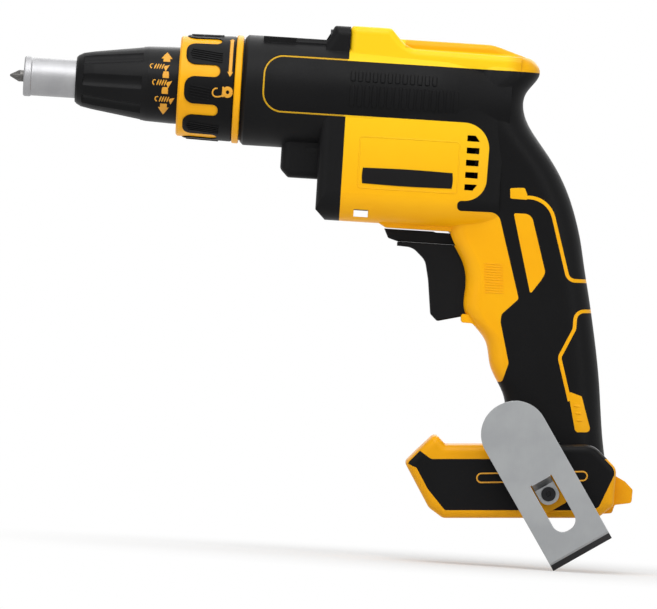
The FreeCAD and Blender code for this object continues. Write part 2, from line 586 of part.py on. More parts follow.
def drive_group():
    teeth = toothed("drive_gear", "gear_teeth", GEAR_X, "gear_face", "0", 0)
    pilot_end = f"{DOG_X} - pilot_deep + clutch_travel + 1.2"
    axle = turned("drive_gear_axle", [(pilot_end, "0"), (pilot_end, "pilot_r"), (GEAR_X, "pilot_r"),
        (GEAR_X, "hub_r"), (f"{PLATE_END} - bearing_w - 0.5", "hub_r"),
        (f"{PLATE_END} - bearing_w - 0.5", "gear_shaft_r"), (PLATE_END, "gear_shaft_r"),
        (PLATE_END, "0")])
    near = "(dog_in - dog_half) * sqrt(0.5)"
    near_far = "(dog_in + dog_half) * sqrt(0.5)"
    far = "(dog_out - dog_half) * sqrt(0.5)"
    far_far = "(dog_out + dog_half) * sqrt(0.5)"
    dog = axle.along(f"{GEAR_X} - dog_tall", "dog_tall + 0.5", lambda s: outline(s,
        [(near, near_far), (near_far, near), (far_far, far), (far, far_far)]))
    doc.recompute()
    axle.polar(dog, "4")
    keep("drive_gear", fuse("drive_gear_whole", teeth, axle))

    pinion_teeth = toothed("pinion", "pinion_teeth", f"{GEAR_X} - 0.5", "gear_face + 1", f"-{CENTRES}",
        value("180 / pinion_teeth"))
    bore = rod("pinion_bore", "shaft_end_r + 0.01", "20", f"{GEAR_X} - 5", "0", f"-{CENTRES}", (1, 0, 0))
    keep("pinion", cut("pinion_wheel", pinion_teeth, bore))

    def about_motor(label, corners):
        piece = turned(label, corners)
        piece.move(z=f"-{CENTRES}")
        return piece

    keep("motor_shaft", about_motor("motor_shaft", [(f"{GEAR_X} - 0.5", "0"),
        (f"{GEAR_X} - 0.5", "shaft_end_r"), (f"{PLATE_X} + 0.8", "shaft_end_r"),
        (f"{PLATE_X} + 0.8", "shaft_r - 0.5"), (PLATE_END, "shaft_r - 0.5"), (PLATE_END, "shaft_r"),
        (f"{REAR_X} - 0.6", "shaft_r"), (f"{REAR_X} - 0.6", "shaft_end_r"),
        (f"{REAR_X} + rear_w", "shaft_end_r"), (f"{REAR_X} + rear_w", "0")]))
    keep("rotor_core", about_motor("rotor_core", [(STATOR_X, "shaft_r"), (STATOR_X, "rotor_r - magnet_t"),
        (STATOR_END, "rotor_r - magnet_t"), (STATOR_END, "shaft_r")]))
    keep("rotor_magnets", about_motor("rotor_magnets", [(STATOR_X, "rotor_r - magnet_t"),
        (STATOR_X, "rotor_r"), (STATOR_END, "rotor_r"), (STATOR_END, "rotor_r - magnet_t")]))
    for label, up, inner in (("gear_bearing", "0", "gear_shaft_r"),
            ("motor_front_bearing", f"-{CENTRES}", "shaft_r - 0.5")):
        race = turned(label, bearing_ring(f"{PLATE_END} - bearing_w - 0.5 + fit_gap", "bearing_w", inner,
            "bearing_r"))
        race.move(z=up)
        keep(label, race)
    keep("motor_rear_bearing", about_motor("motor_rear_bearing",
        bearing_ring(REAR_X, "rear_w", "shaft_end_r", "rear_r")))

    core = Piece("stator_core")
    core.along(STATOR_X, "stator_len", lambda s: ring(s, "motor_r"))
    core.along(STATOR_X, "stator_len", lambda s: ring(s, "stator_bore"), "Pocket")
    slot = core.along(STATOR_X, "stator_len", lambda s: outline(s, [("-2.4", "stator_bore + 1.6"),
        ("2.4", "stator_bore + 1.6"), ("4.2", "motor_r - 3.2", "1"), ("-4.2", "motor_r - 3.2", "1")]),
        "Pocket")
    core.polar(slot, "6")
    core.move(z=f"-{CENTRES}")
    keep("stator_core", core)

    coils = Piece("stator_coils")
    first = coils.along(f"{STATOR_X} - coil_out", "stator_len + 2 * coil_out", lambda s: outline(s,
        [("-2.3", "stator_bore + 1.7"), ("2.3", "stator_bore + 1.7"), ("4.1", "motor_r - 3.3", "0.9"),
        ("-4.1", "motor_r - 3.3", "0.9")]))
    coils.polar(first, "6")
    for x in (f"{STATOR_X} - coil_out", STATOR_END):
        coils.along(x, "coil_out", lambda s: ring(s, "motor_r - 3.4"))
        coils.along(x, "coil_out", lambda s: ring(s, "stator_bore + 1.7"), "Pocket")
    coils.move(z=f"-{CENTRES}")
    keep("stator_coils", coils)

    board = Piece("hall_board")
    at = f"{STATOR_END} + coil_out + 0.2"
    board.along(at, "board_t", lambda s: ring(s, "motor_r"))
    board.along(at, "board_t", lambda s: ring(s, "shaft_r + 3"), "Pocket")
    board.move(z=f"-{CENTRES}")
    keep("hall_board", board)

    fan = turned("cooling_fan", [(FAN_X, "shaft_r"), (FAN_X, "8"),
        (f"{FAN_X} + fan_len - 1.6", "12", "4"), (f"{FAN_X} + fan_len - 1.6", "fan_r"),
        (f"{FAN_X} + fan_len", "fan_r"), (f"{FAN_X} + fan_len", "shaft_r")])
    blade = fan.along(f"{FAN_X} + 1.5", "fan_len - 2", lambda s: outline(s, [("-2", "7"), ("-0.6", "7"),
        ("3.4", "fan_r - 1.2"), ("2", "fan_r - 1.2")]))
    fan.polar(blade, "fan_blades")
    fan.move(z=f"-{CENTRES}")
    keep("cooling_fan", fan)


def bearing_ring(x, width, inner, outer):
    """A shielded ball bearing as one ring with its shields set in."""
    end = f"{x} + {width}"
    shield_in = f"({inner}) + 1.2"
    shield_out = f"({outer}) - 1.2"
    return [(x, inner), (x, shield_in), (f"{x} + 0.4", shield_in), (f"{x} + 0.4", shield_out),
        (x, shield_out), (x, outer), (end, outer), (end, shield_out), (f"{end} - 0.4", shield_out),
        (f"{end} - 0.4", shield_in), (end, shield_in), (end, inner)]


# Clamshell housing, its soft grips and its screws.

HOUSING_SCREWS = [(93.3, -121), (116.3, -152), (93.3, -52), (81.3, 12), (19.3, -56.5), (57.3, -57.5),
    (22.3, 21.5), (61.2, -181.9), (135.9, -175.2)]
POSTS = HOUSING_SCREWS[:3]
VENTS = 5


def band(points, width):
    """Corners of a strip of even width along a side-view line; a point's third entry is its bend radius."""
    spots = [FreeCAD.Vector(p[0], p[1], 0) for p in points]
    runs = [(b - a).normalize() for a, b in zip(spots, spots[1:])]
    left, right = [], []
    for spot, point, before, after in zip(spots, points, runs[:1] + runs, runs + runs[-1:]):
        along = before + after
        reach = width / along.Length
        across = FreeCAD.Vector(-along.y, along.x, 0).normalize() * reach
        bend = math.copysign(width / 2, before.cross(after).z)
        for side, sign, corners in ((across, -1, left), (-across, 1, right)):
            place_at = spot + side
            radius = [str(point[2] + sign * bend)] if len(point) > 2 else []
            corners.append((round(place_at.x, 3), round(place_at.y, 3), *radius))
    return left + right[::-1]


def grip_form(label, inset, first=1, floor=None, nose=0.5, heel=0.85):
    """The handle as a loft through its stations, drawn in by an inset."""
    piece = Piece(label)
    sections = []
    for n in range(first, len(STATIONS) + 1):
        sketch = piece.sketch("XY_Plane", f"grip_z_{n}s")
        half = f"(grip_half_{n}s - {inset})"
        front = f"{SEAM} + grip_front_{n}s + {inset}"
        if floor:
            front = f"{SEAM} + max(grip_front_{n}s + {inset}; {floor})"
        rear = f"{SEAM} + grip_rear_{n}s - {inset}"
        outline(sketch, [(front, f"-{half}", f"{half} * {nose}"), (rear, f"-{half}", f"{half} * {heel}"),
            (rear, half, f"{half} * {heel}"), (front, half, f"{half} * {nose}")])
        sections.append(sketch)
    loft = piece.feature("AdditiveLoft", sections[0])
    loft.Sections = sections[1:]
    return piece


def motor_form(label, inset):
    piece = Piece(label)
    sections = []
    for x, half in (("0", "motor_half"), ("35", "motor_half"), ("60", "motor_half - 1.2"),
            (f"79 - {inset}", "motor_half - 6.5")):
        sketch = piece.sketch("YZ_Plane", f"{SEAM} + {x}")
        wide = f"({half} - {inset})"
        low = f"{inset} - motor_low"
        outline(sketch, [(f"-{wide}", low, "motor_corner"), (wide, low, "motor_corner"), (wide, "0"),
            (f"-{wide}", "0")])
        sections.append(sketch)
    loft = piece.feature("AdditiveLoft", sections[0])
    loft.Sections = sections[1:]
    return piece


def barrel_form(label, inset):
    return turned(label, [(SEAM, "0"), (SEAM, f"barrel_r - {inset}"),
        (f"{SEAM} + 51", f"barrel_r - 1.5 - {inset}", "60"), (f"{SEAM} + 82", f"barrel_r - 7 - {inset}"),
        (f"{SEAM} + 82", "0")])


def tongue_form(label, outer_r):
    ring_part = turned(f"{label}_ring", [(f"{SEAM} - tongue_len", "tongue_floor + run_gap"),
        (f"{SEAM} - tongue_len", outer_r), (f"{SEAM} + 0.5", outer_r),
        (f"{SEAM} + 0.5", "tongue_floor + run_gap")])
    return common(label, ring_part, tongue(f"{label}_prism", "0"))


def on_foot(piece):
    return piece.move(f"{SEAM} + foot_x", "0", "-foot_z", FreeCAD.Vector(0, -1, 0), "foot_tilt")


def on_hook(piece, y):
    return piece.move(f"{SEAM} + hook_x", y, "-hook_z", FreeCAD.Vector(0, -1, 0), "hook_turn")


def housing_group():
    roof = slab("roof_wide", from_seam([("0", "14"), ("0", "ear_top + 0.4", "2"),
        ("20.3", "ear_top + 0.4", "3"), ("27", "roof_low + 2.2", "5"), ("32", "roof_low", "6"),
        ("86", "roof_low - 0.8"), ("86", "14")]), "roof_half")
    roof.round("3.5", lambda e: on_flank(e, "roof_half") and e.CenterOfMass.z > 20
        and e.CenterOfMass.x > value(SEAM) + 0.5 and not lying("Z")(e))
    ridge = slab("roof_ridge", from_seam([("15", "14"), ("15", "ridge_top"), ("71.5", "ridge_top", "20"),
        ("88", "roof_low - 0.6"), ("88", "14")]), "ridge_half")
    ridge.round("3", lambda e: on_flank(e, "ridge_half") and e.CenterOfMass.z > 20 and not lying("Z")(e))
    beak = slab("trigger_beak", from_seam([("63.7", "-105", "1"), ("64.1", "-109.3", "1.3"),
        ("69.5", "-109.4", "2"), ("76", "-114"), ("82", "-114"), ("82", "-105")]), "trigger_half + 4")
    belly = slab("motor_belly", from_seam([("17.5", "-60"), ("20", "-motor_low", "4"),
        ("23.5", "-motor_low - belly_drop", "3"), ("58", "-motor_low - belly_drop"), ("58", "-60")]),
        "lever_room_half + 1.5")
    foot = slab("foot_form", [("-39", "0", "4"), ("-46", "5.2", "6"), ("-57.8", "27.5", "2.5"),
        ("-51.7", "33.5", "2"), ("-42.5", "42", "2.5"), ("-37.5", "36.5", "2"), ("36", "36.5", "10"),
        ("47.5", "24.5", "6"), ("46", "6", "3"), ("38", "0", "3")], "foot_half")
    foot.round("foot_round", lambda e: on_flank(e, "foot_half"))
    on_foot(foot)
    catch = on_foot(slab("foot_catch", [("36", "1.6"), ("45.4", "2.2", "1.5"), ("46.8", "6.3", "1"),
        ("55.2", "7.3", "1.5"), ("55.8", "13.9", "1.5"), ("52", "18", "2"), ("46.5", "21.2", "3"),
        ("36", "21.2")], "19"))
    boss = Piece("hook_boss")
    boss.side([("-7.5", "-8", "3"), ("7.5", "-8", "3"), ("7.5", "9", "3"), ("-7.5", "9", "3")],
        "foot_half + hook_pad")
    on_hook(boss, "0")
    outer = fuse("housing_outer", barrel_form("barrel_form", "0"), roof, ridge,
        motor_form("motor_form", "0"), grip_form("grip_form", "0"), beak, belly, foot, catch, boss,
        tongue_form("tongue_form", "barrel_r"))

    inner = fuse("housing_inner", barrel_form("barrel_in", "skin"), motor_form("motor_in", "skin"),
        grip_form("grip_in", "skin"), foot, tongue_form("tongue_in", "barrel_r - skin"))
    low = "rim_line - tongue_low"
    high = "tongue_top - rim_line"
    front = "(rim_line - tongue_len)"
    area = slab("grip_area", from_seam([(front, low, "9.2"), ("72.7", low, "13"), ("72", "-48.4", "11"),
        ("58.2", "-48.9", "2.2"), ("58.3", "-53.9", "2.2"), ("79.2", "-53.5", "5.5"),
        ("91.9", "-95.8", "2"), ("83.8", "-104", "3"), ("83.6", "-108", "2"), ("88.9", "-128.1", "3"),
        ("86.2", "-137.6", "2"), ("60", "-140"), ("60", "-172"), ("160", "-172"), ("160", high),
        (front, high, "9.2")]), "through")
    panel = slab("grip_panel", from_seam([("86.7", "-53.3", "0.8"), ("95.6", "-53.1", "4.5"),
        ("104.4", "-82", "3.5"), ("102.6", "-85.6", "1.5"), ("97.5", "-93", "0.6")]), "through")
    tab = slab("grip_tab", from_seam([("84.1", "-40.9", "0.8"), ("91.4", "-40.3", "1"),
        ("92.9", "-43.6", "0.8"), ("92.8", "-46.2"), ("84.6", "-46.1", "0.8")]), "through")
    upper = slab("grip_line_upper",
        from_seam(band([(91, -45), (103.9, -44.9, 13), (116.1, -85.1, 4.5), (132, -84.7)], 1.8)),
        "through")
    lower = slab("grip_line_lower", from_seam(band([(138, -99), (120.7, -100.2, 4.5), (120.6, -109, 3),
        (114, -123.6, 4), (120.4, -145)], 1.8)), "through")
    patch = slab("grip_patch", from_seam([("119.3", "-140.2", "1"), ("126.3", "-142.3", "1"),
        ("132.1", "-159.9", "2"), ("124.2", "-160.4", "2")]), "through")
    zone = cut("grip_zone", area, fuse("grip_marks", panel, tab, upper, lower, patch))
    left_side = block("left_space", f"{SEAM} - 60", "-60", "-260", "300", "60", "320")
    left_form = common("housing_outer_left", outer, left_side)
    recess = cut("grip_recess", common("grip_zone_left", zone, left_side), inner)

    pad_area = slab("foot_pad_area", [("-38", "3.9", "2"), ("-46.5", "14.5", "8"), ("-52", "25", "2"),
        ("-58.5", "28"), ("-53", "34.6"), ("-50.5", "33.6"), ("-44.8", "29.4", "3"), ("4", "29.4", "3"),
        ("7.5", "35.9"), ("43", "35.9"), ("47.9", "25.5", "3"), ("46.3", "21.3", "2"),
        ("41.5", "11.5", "6"), ("38.5", "5.2", "3"), ("34", "3.9", "3")], "foot_half + 2")
    on_foot(pad_area)
    pad_core = on_foot(slab("foot_pad_core", [("-80", "-20"), ("80", "-20"), ("80", "60"), ("-80", "60")],
        "foot_half - skin"))
    clear = Piece("hook_boss_clear")
    clear.side([("-7.6", "-8.1", "3"), ("7.6", "-8.1", "3"), ("7.6", "9.1", "3"), ("-7.6", "9.1", "3")],
        "foot_half + 5")
    on_hook(clear, "0")
    pad_recess = cut("foot_pad_recess", common("foot_pad_left", pad_area, left_side),
        fuse("foot_pad_tools", pad_core, clear))

    motor_room = turned("motor_room", [(f"{SEAM} - 1", "0"), (f"{SEAM} - 1", "motor_r + fit_gap"),
        (f"{STATOR_END} + coil_out + board_t + 0.5", "motor_r + fit_gap"),
        (f"{STATOR_END} + coil_out + board_t + 0.5", "fan_r + 0.8"), (f"{REAR_X} - 1", "fan_r + 0.8"),
        (f"{REAR_X} - 1", "rear_r - 2"), (f"{REAR_X} - fit_gap", "rear_r - 2"),
        (f"{REAR_X} - fit_gap", "rear_r + fit_gap"),
        (f"{REAR_X} + rear_w + fit_gap", "rear_r + fit_gap"), (f"{REAR_X} + rear_w + fit_gap", "0")])
    motor_room.move(z=f"-{CENTRES}")
    tools = [motor_room, grip_form("grip_room", "wall", 7, "74", 0.3, 0.6)]
    tools.append(block("module_room", f"{SEAM} + 4", "-13", "-0.5", "50", "26", "16.5"))
    tools.append(block("lead_way", f"{SEAM} + 50", "-4", "2", "32", "8", "6"))
    tools.append(block("lead_drop", f"{SEAM} + 76", "-3", "-34", "6", "6", "42"))
    tools.append(slab("trigger_room", from_seam([("50", "-70.9"), ("86", "-70.9"), ("86", "-104.6"),
        ("76", "-105.4"), ("50", "-111.9")]), "trigger_half + 0.4"))
    tools.append(block("lever_room", f"{SEAM} + 50", "-lever_room_half", "-71.2", "28",
        "2 * lever_room_half", "6.4"))
    tools.append(rod("lever_pin_room", "pin_r + fit_gap", "8", f"{SEAM} + lever_at", "0", "-66",
        (0, 0, 1)))
    tools.append(block("through_slot", f"{SEAM} + 7", "-40", "-59.9", "7.2", "80", "3.6"))
    for number in range(VENTS):
        vent_high = f"-vent_top - {number} * vent_pitch"
        top_cut = "vent_slant" if number == 0 else "0"
        low_cut = "vent_slant" if number == VENTS - 1 else "0"
        tools.append(slab(f"vent{number + 1}", from_seam([("vent_at", vent_high),
            (f"vent_at + vent_w - {top_cut}", vent_high),
            (f"vent_at + vent_w - {low_cut}", f"{vent_high} - vent_h"),
            ("vent_at", f"{vent_high} - vent_h")]), "through"))
    for number, (across, up) in enumerate(CASE_SCREWS, 1):
        tools.append(rod(f"shell_bolt_hole{number}", "screw_r + fit_gap", "16", f"{SEAM} - 1", across, up,
            (1, 0, 0)))
    for label, corners, half in (("rail_room", [("-70", "rail_lip"), ("40", "rail_lip"),
            ("40", "rail_deep"), ("-70", "rail_deep")], "rail_half"), ("rail_mouth_room", [("-70", "-2"),
            ("40", "-2"), ("40", "rail_lip + 1"), ("-70", "rail_lip + 1")], "rail_mouth"),
            ("terminal_room", [("-24", "rail_deep - 1"), ("32", "rail_deep - 1"), ("32", "31"),
            ("-24", "31")], "20")):
        tools.append(on_foot(slab(label, corners, half)))
    for number, side in enumerate((1, -1), 1):
        y = f"{side} * (foot_half + hook_pad + 1)"
        tools.append(rod(f"hook_hole{number}", "hook_bolt_r + 0.3", "12", f"{SEAM} + hook_x", y,
            "-hook_z", (0, -side, 0)))
        tools.append(rod(f"hook_nut_hole{number}", "nut_r + fit_gap", "6.1", f"{SEAM} + hook_x",
            f"{side} * (foot_half + hook_pad - 1)", "-hook_z", (0, -side, 0)))
    posts = [rod(f"post{n}", "post_r", "32", f"{SEAM} + {x}", "-16", str(z), (0, 1, 0)) for n,
        (x, z) in enumerate(POSTS, 1)]
    bores = []
    screws = []
    for n, (x, z) in enumerate(HOUSING_SCREWS, 1):
        bores.append(rod(f"bore{n}", "screw_r + fit_gap", "screw_seat + screw_deep + 1", f"{SEAM} + {x}",
            "-screw_deep - 0.5", str(z), (0, 1, 0)))
        bores.append(rod(f"sink{n}", "screw_head_r + 0.3", "40", f"{SEAM} + {x}", "screw_seat", str(z),
            (0, 1, 0)))
        screws += screw(f"screw{n}", f"{SEAM} + {x}", "screw_seat", str(z), (0, 1, 0),
            "screw_deep + screw_seat", "screw_head_r")
    keep("housing_screws", fuse("housing_screw_set", *screws))
    drills = fuse("screw_drills", *bores)
    rooms = cut("housing_rooms_posted", fuse("housing_rooms", *tools), fuse("housing_posts", *posts))
    shell = cut("housing_shell", left_form, fuse("housing_tools", rooms, recess, pad_recess))
    soft = common("grip_soft", left_form, recess)
    pads = common("foot_pads", left_form, pad_recess)
    for label, item in (("housing", shell), ("grip", soft), ("foot_pad", pads)):
        keep(f"left_{label}", cut(f"left_{label}_bored", item, drills))
        other = doc.addObject("Part::Mirroring", f"{label}_mirrored")
        other.Source = item
        other.Normal = FreeCAD.Vector(0, 1, 0)
        keep(f"right_{label}", cut(f"right_{label}_bored", other, drills))

    case_screws = []
    for n, (across, up) in enumerate(CASE_SCREWS, 1):
        case_screws += screw(f"case_screw{n}", f"{SEAM} - 7", across, up, (-1, 0, 0), "21",
            "screw_head_r")
    keep("gear_case_screws", fuse("case_screw_set", *case_screws))


def screw(label, x, y, z, out, length, head):
    """A pan-head screw; out is the direction its head faces."""
    inward = tuple(-v for v in out)
    cap = rod(f"{label}_head", head, "screw_head_t", x, y, z, out)
    shank = rod(f"{label}_shank", "screw_r", length, x, y, z, inward)
    return [cap, shank]


# Trigger, direction lever, switch and electronics.

def trigger_group():
    piece = slab("trigger", from_seam([("29.7", "-71.15"), ("29.7", "-73"), ("37.6", "-73.4", "8"),
        ("44.2", "-79.5", "8"), ("46.3", "-89.2", "30"), ("48.4", "-106", "2"), ("52", "-109.4", "1.6"),
        ("68.4", "-105.3"), ("75.3", "-104"), ("75.3", "-71.15")]), "trigger_half")
    piece.round("1", lambda e: on_flank(e, "trigger_half") and e.CenterOfMass.x < value(SEAM) + 50
        and e.CenterOfMass.z < -72)
    keep("trigger", piece)
    keep("switch_plunger", rod("switch_plunger", "plunger_r", "switch_at - 75.3 + 4", f"{SEAM} + 75.3",
        "0", "-88", (1, 0, 0)))
    spring = Piece("trigger_spring")
    sketch = spring.sketch("XZ_Plane")
    ring(sketch, "0.35", f"{SEAM} + 75.3 + 0.45", "plunger_r + 1.2")
    coil = spring.feature("AdditiveHelix", sketch)
    coil.ReferenceAxis = (sketch, ["H_Axis"])
    coil.Mode = "height-turns-angle"
    bind(coil, "Height", "switch_at - 75.3 - 0.9")
    coil.Turns = 3
    spring.move(z="-88")
    keep("trigger_spring", spring)

    case = Piece("trigger_switch")
    case.side(from_seam([("switch_at", "-73", "1"), ("switch_at + switch_len", "-73", "1"),
        ("switch_at + switch_len", "-103", "1"), ("switch_at", "-103", "1")]), "switch_half")
    case.along(f"{SEAM} + switch_at", "trigger_travel + 6",
        lambda s: ring(s, "plunger_r + run_gap", "0", "-88"), "Pocket")
    keep("trigger_switch", case)

    lever = slab("lever_arm", from_seam([("22.8", "-64.8"), ("25", "-69.4", "1.5"), ("29.7", "-70.8"),
        ("lever_at", "-70.8"), ("lever_at", "-65.2"), ("48.5", "-65.2"), ("47.5", "-64.8")]),
        "lever_half")
    lever.round("1.2", lambda e: on_flank(e, "lever_half") and e.CenterOfMass.x < value(SEAM) + 28)
    hub = rod("lever_hub", "lever_half + 1", "5.6", f"{SEAM} + lever_at", "0", "-70.8", (0, 0, 1))
    eye = rod("lever_eye", "pin_r + fit_gap", "10", f"{SEAM} + lever_at", "0", "-73", (0, 0, 1))
    keep("direction_lever", cut("lever_whole", fuse("lever_solid", lever, hub), eye))
    keep("lever_pin", rod("lever_pin", "pin_r", "12", f"{SEAM} + lever_at", "0", "-70.8", (0, 0, 1)))

    module = Piece("control_module")
    module.side(from_seam([("8", "0"), ("50", "0"), ("50", "12"), ("8", "12")]), "12")
    module.side(from_seam([("10", "11.5"), ("48", "11.5"), ("48", "15"), ("10", "15")]), "12")
    for number in range(5):
        module.along(f"{SEAM} + 9", "41", lambda s: outline(s, [(f"{number} * 4.6 - 10.4", "13"),
            (f"{number} * 4.6 - 8", "13"), (f"{number} * 4.6 - 8", "16"),
            (f"{number} * 4.6 - 10.4", "16")]), "Pocket")
    keep("control_module", module)


# Battery foot: terminal block and blades, then the belt hook.

BLADES = 5


def foot_group():
    base = slab("terminal_block", [("-23.8", "rail_deep"), ("-23.8", "23"), ("31.8", "23"),
        ("31.8", "rail_deep - 11"), ("25", "rail_deep - 11"), ("25", "rail_deep")], "19.8")
    on_foot(base)
    rows = []
    slots = []
    for number in range(BLADES):
        y = f"({number} - 2) * blade_pitch"
        for group, items, grow in (("blade", rows, "0"), ("slot", slots, "fit_gap")):
            piece = Piece(f"terminal_{group}{number + 1}")
            sketch = piece.sketch("XZ_Plane", f"-({y}) - blade_t / 2 - {grow}")
            outline(sketch, [("-4", "rail_deep - 9"), ("27", "rail_deep - 9"), ("27", "22.5"),
                ("20", "22.5"), ("20", "rail_deep - 0.5"), ("-4", "rail_deep - 4")])
            piece.feature("Pad", sketch, Length=f"blade_t + 2 * {grow}")
            on_foot(piece)
            items.append(piece)
    keep("terminal_blades", fuse("blade_set", *rows))
    keep("terminal_block", cut("terminal_base", base, fuse("blade_slots", *slots)))


def hook_group():
    hook = Piece("belt_hook")
    plate = hook.sketch("XZ_Plane", "hook_gap")
    outline(plate, [("-hook_half", "-hook_down"), ("hook_half", "-hook_down"),
        ("hook_half", "hook_up", "hook_half * 0.97"), ("-hook_half", "hook_up", "hook_half * 0.97")])
    hook.feature("Pad", plate, Length="hook_t")
    window = hook.sketch("XZ_Plane", "hook_gap - 1")
    outline(window, [("-hook_window / 2", "8"), ("-hook_window / 2", "-20.3", "hook_window * 0.45"),
        ("hook_window / 2", "-20.3", "hook_window * 0.45"), ("hook_window / 2", "8")])
    opening = hook.feature("Pocket", window, Length="hook_t + 2")
    opening.Reversed = True
    far = "hook_gap + hook_t"
    strip = [("0", "-5.2"), ("-hook_t", "-5.2"), ("-hook_t", "4.4"), (f"-({far})", "7.6"),
        (f"-({far})", "10.5"), ("-hook_gap", "10.5"), ("0", "6.8")]
    tongue_pad = hook.feature("Pad", outline(hook.sketch("YZ_Plane"), strip), Length="hook_window - 1.5")
    tongue_pad.SideType = "Symmetric"
    lip = [(f"-({far})", "1 - hook_down"), (f"-({far})", "-hook_down"),
        ("3.2 - hook_gap", "-hook_down - 4"), ("4 - hook_gap", "-hook_down - 2.2"),
        ("-hook_gap", "1 - hook_down")]
    lip_pad = hook.feature("Pad", outline(hook.sketch("YZ_Plane"), lip), Length="2 * hook_half")
    lip_pad.SideType = "Symmetric"
    hole = hook.sketch("XZ_Plane", "-1")
    ring(hole, "hook_bolt_r + 0.2")
    drilled = hook.feature("Pocket", hole, Length="hook_t + 2")
    drilled.Reversed = True
    hook.round("hook_window * 0.4", lambda e: lying("Y")(e) and abs(e.CenterOfMass.z + 5.2) < 0.01)
    on_hook(hook, "-foot_half - hook_pad")
    keep("belt_hook", hook)

    face = "(foot_half + hook_pad + hook_t)"
    head = rod("hook_screw_head", "3.6", "2.6", f"{SEAM} + hook_x", f"-{face}", "-hook_z", (0, -1, 0))
    shank = rod("hook_screw_shank", "hook_bolt_r", "8", f"{SEAM} + hook_x", f"-{face}", "-hook_z",
        (0, 1, 0))
    drive = Piece("hook_screw_drive")
    sketch = drive.sketch("XZ_Plane", "0.8")
    hexagon(sketch, "2.5")
    drive.feature("Pad", sketch, Length="4")
    drive.move(f"{SEAM} + hook_x", f"-{face}", "-hook_z")
    keep("belt_hook_screw", cut("hook_screw", fuse("hook_screw_solid", head, shank), drive))
    nuts = []
    for number, side in enumerate((1, -1), 1):
        y = f"{side} * (foot_half + hook_pad - 1)"
        outside = rod(f"nut{number}", "nut_r", "6", f"{SEAM} + hook_x", y, "-hook_z", (0, -side, 0))
        thread = rod(f"nut_thread{number}", "hook_bolt_r + 0.02", "8", f"{SEAM} + hook_x",
            f"{side} * (foot_half + hook_pad)", "-hook_z", (0, -side, 0))
        nuts.append(cut(f"hook_nut{number}", outside, thread))
    keep("hook_nuts", fuse("hook_nut_set", *nuts))


driver_group()
nose_group()
case_group()
drive_group()
housing_group()
trigger_group()
foot_group()
hook_group()

SETS = {"housing_screws": len(HOUSING_SCREWS), "gear_case_screws": len(CASE_SCREWS),
    "terminal_blades": BLADES, "hook_nuts": 2}
doc.recompute()
for item in doc.Objects:
    if {"Invalid", "Error"} & set(item.State):
        raise RuntimeError(f"{item.Name} failed: {item.State}")
for label, item in nodes.items():
    shape = item.Shape
    if shape.isNull() or not shape.isValid() or len(shape.Solids) != SETS.get(label, 1):
        raise RuntimeError(f"{label} is not a sound solid")
    shape.exportStep(f"parts/{label}.step")
print(len(nodes), "pieces written")
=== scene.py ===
"""Looks of the cordless drywall screwdriver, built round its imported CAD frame."""

import logging
import math
from collections.abc import Callable, Sequence
from dataclasses import dataclass, field
from enum import Enum

import bmesh
import bpy
import numpy as np
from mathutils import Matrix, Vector


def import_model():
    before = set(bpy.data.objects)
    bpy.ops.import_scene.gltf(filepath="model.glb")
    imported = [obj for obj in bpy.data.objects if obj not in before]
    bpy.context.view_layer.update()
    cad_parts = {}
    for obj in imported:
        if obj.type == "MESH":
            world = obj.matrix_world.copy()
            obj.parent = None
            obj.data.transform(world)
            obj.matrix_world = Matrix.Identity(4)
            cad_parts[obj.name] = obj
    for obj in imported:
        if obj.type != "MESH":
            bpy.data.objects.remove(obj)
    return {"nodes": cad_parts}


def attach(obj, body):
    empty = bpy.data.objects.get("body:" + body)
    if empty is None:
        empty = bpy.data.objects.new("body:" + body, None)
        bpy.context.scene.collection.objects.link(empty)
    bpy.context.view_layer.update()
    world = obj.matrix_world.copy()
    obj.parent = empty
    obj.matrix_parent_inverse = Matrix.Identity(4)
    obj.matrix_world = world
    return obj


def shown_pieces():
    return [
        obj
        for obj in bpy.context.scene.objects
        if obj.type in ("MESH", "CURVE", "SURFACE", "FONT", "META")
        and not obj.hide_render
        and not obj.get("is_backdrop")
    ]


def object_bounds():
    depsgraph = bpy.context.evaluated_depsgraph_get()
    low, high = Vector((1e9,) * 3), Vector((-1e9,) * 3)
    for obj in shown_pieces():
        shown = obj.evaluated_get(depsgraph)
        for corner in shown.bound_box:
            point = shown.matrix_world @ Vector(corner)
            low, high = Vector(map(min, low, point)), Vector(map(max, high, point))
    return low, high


LOG = logging.getLogger("screwdriver")
MM = 0.001
PER_M = 1000.0
FULL_TURN = 2.0 * math.pi

Colour = tuple[float, float, float, float]
Span = tuple[float, float]
Spot = tuple[float, float, float]
Row = tuple[float, ...]
Term = "Signal | float"
HalfWidth = Callable[[np.ndarray, np.ndarray], np.ndarray | float]
Carrier = Callable[[np.ndarray, np.ndarray, np.ndarray], np.ndarray]

WHITE: Colour = (1.0, 1.0, 1.0, 1.0)

# The sRGB standard's curve from a written colour to light.
SRGB_KNEE = 0.04045
SRGB_SLOPE = 12.92
SRGB_OFFSET = 0.055
SRGB_POWER = 2.4

# Texture that all finishes share: detail of the noise, and values between which a change runs.
FINE_DETAIL = 4.0
LINE_DETAIL = 3.0
PATCH_BAND = (0.3, 0.7)
PATCH_SHARE = 0.7
BEVEL_SAMPLES = 4
EDGE_BAND = (0.02, 0.3)
WEAR_BAND = (0.35, 0.65)
WEAR_PER_M = 420.0
SMEARS_PER_M = 90.0
SMEAR_SCALE = (1.0, 1.0, 0.35)
TURNED_SCALE = (1.0, 0.02, 0.02)
PEBBLE_SOFT = 0.6
WAVE_BEND = 0.6

# Cross-section of a raised line, in shares of its width, and where its shoulder is cut off.
SECTION = np.array([-0.5, -0.5, -0.3, 0.3, 0.5, 0.5])
SHOULDER = 0.35

# An arrow's head: length in shares of its width, steps along it and the width of its point.
HEAD_LENGTH = 0.9
ARROW_STEPS = 6
ARROW_POINT = 0.02

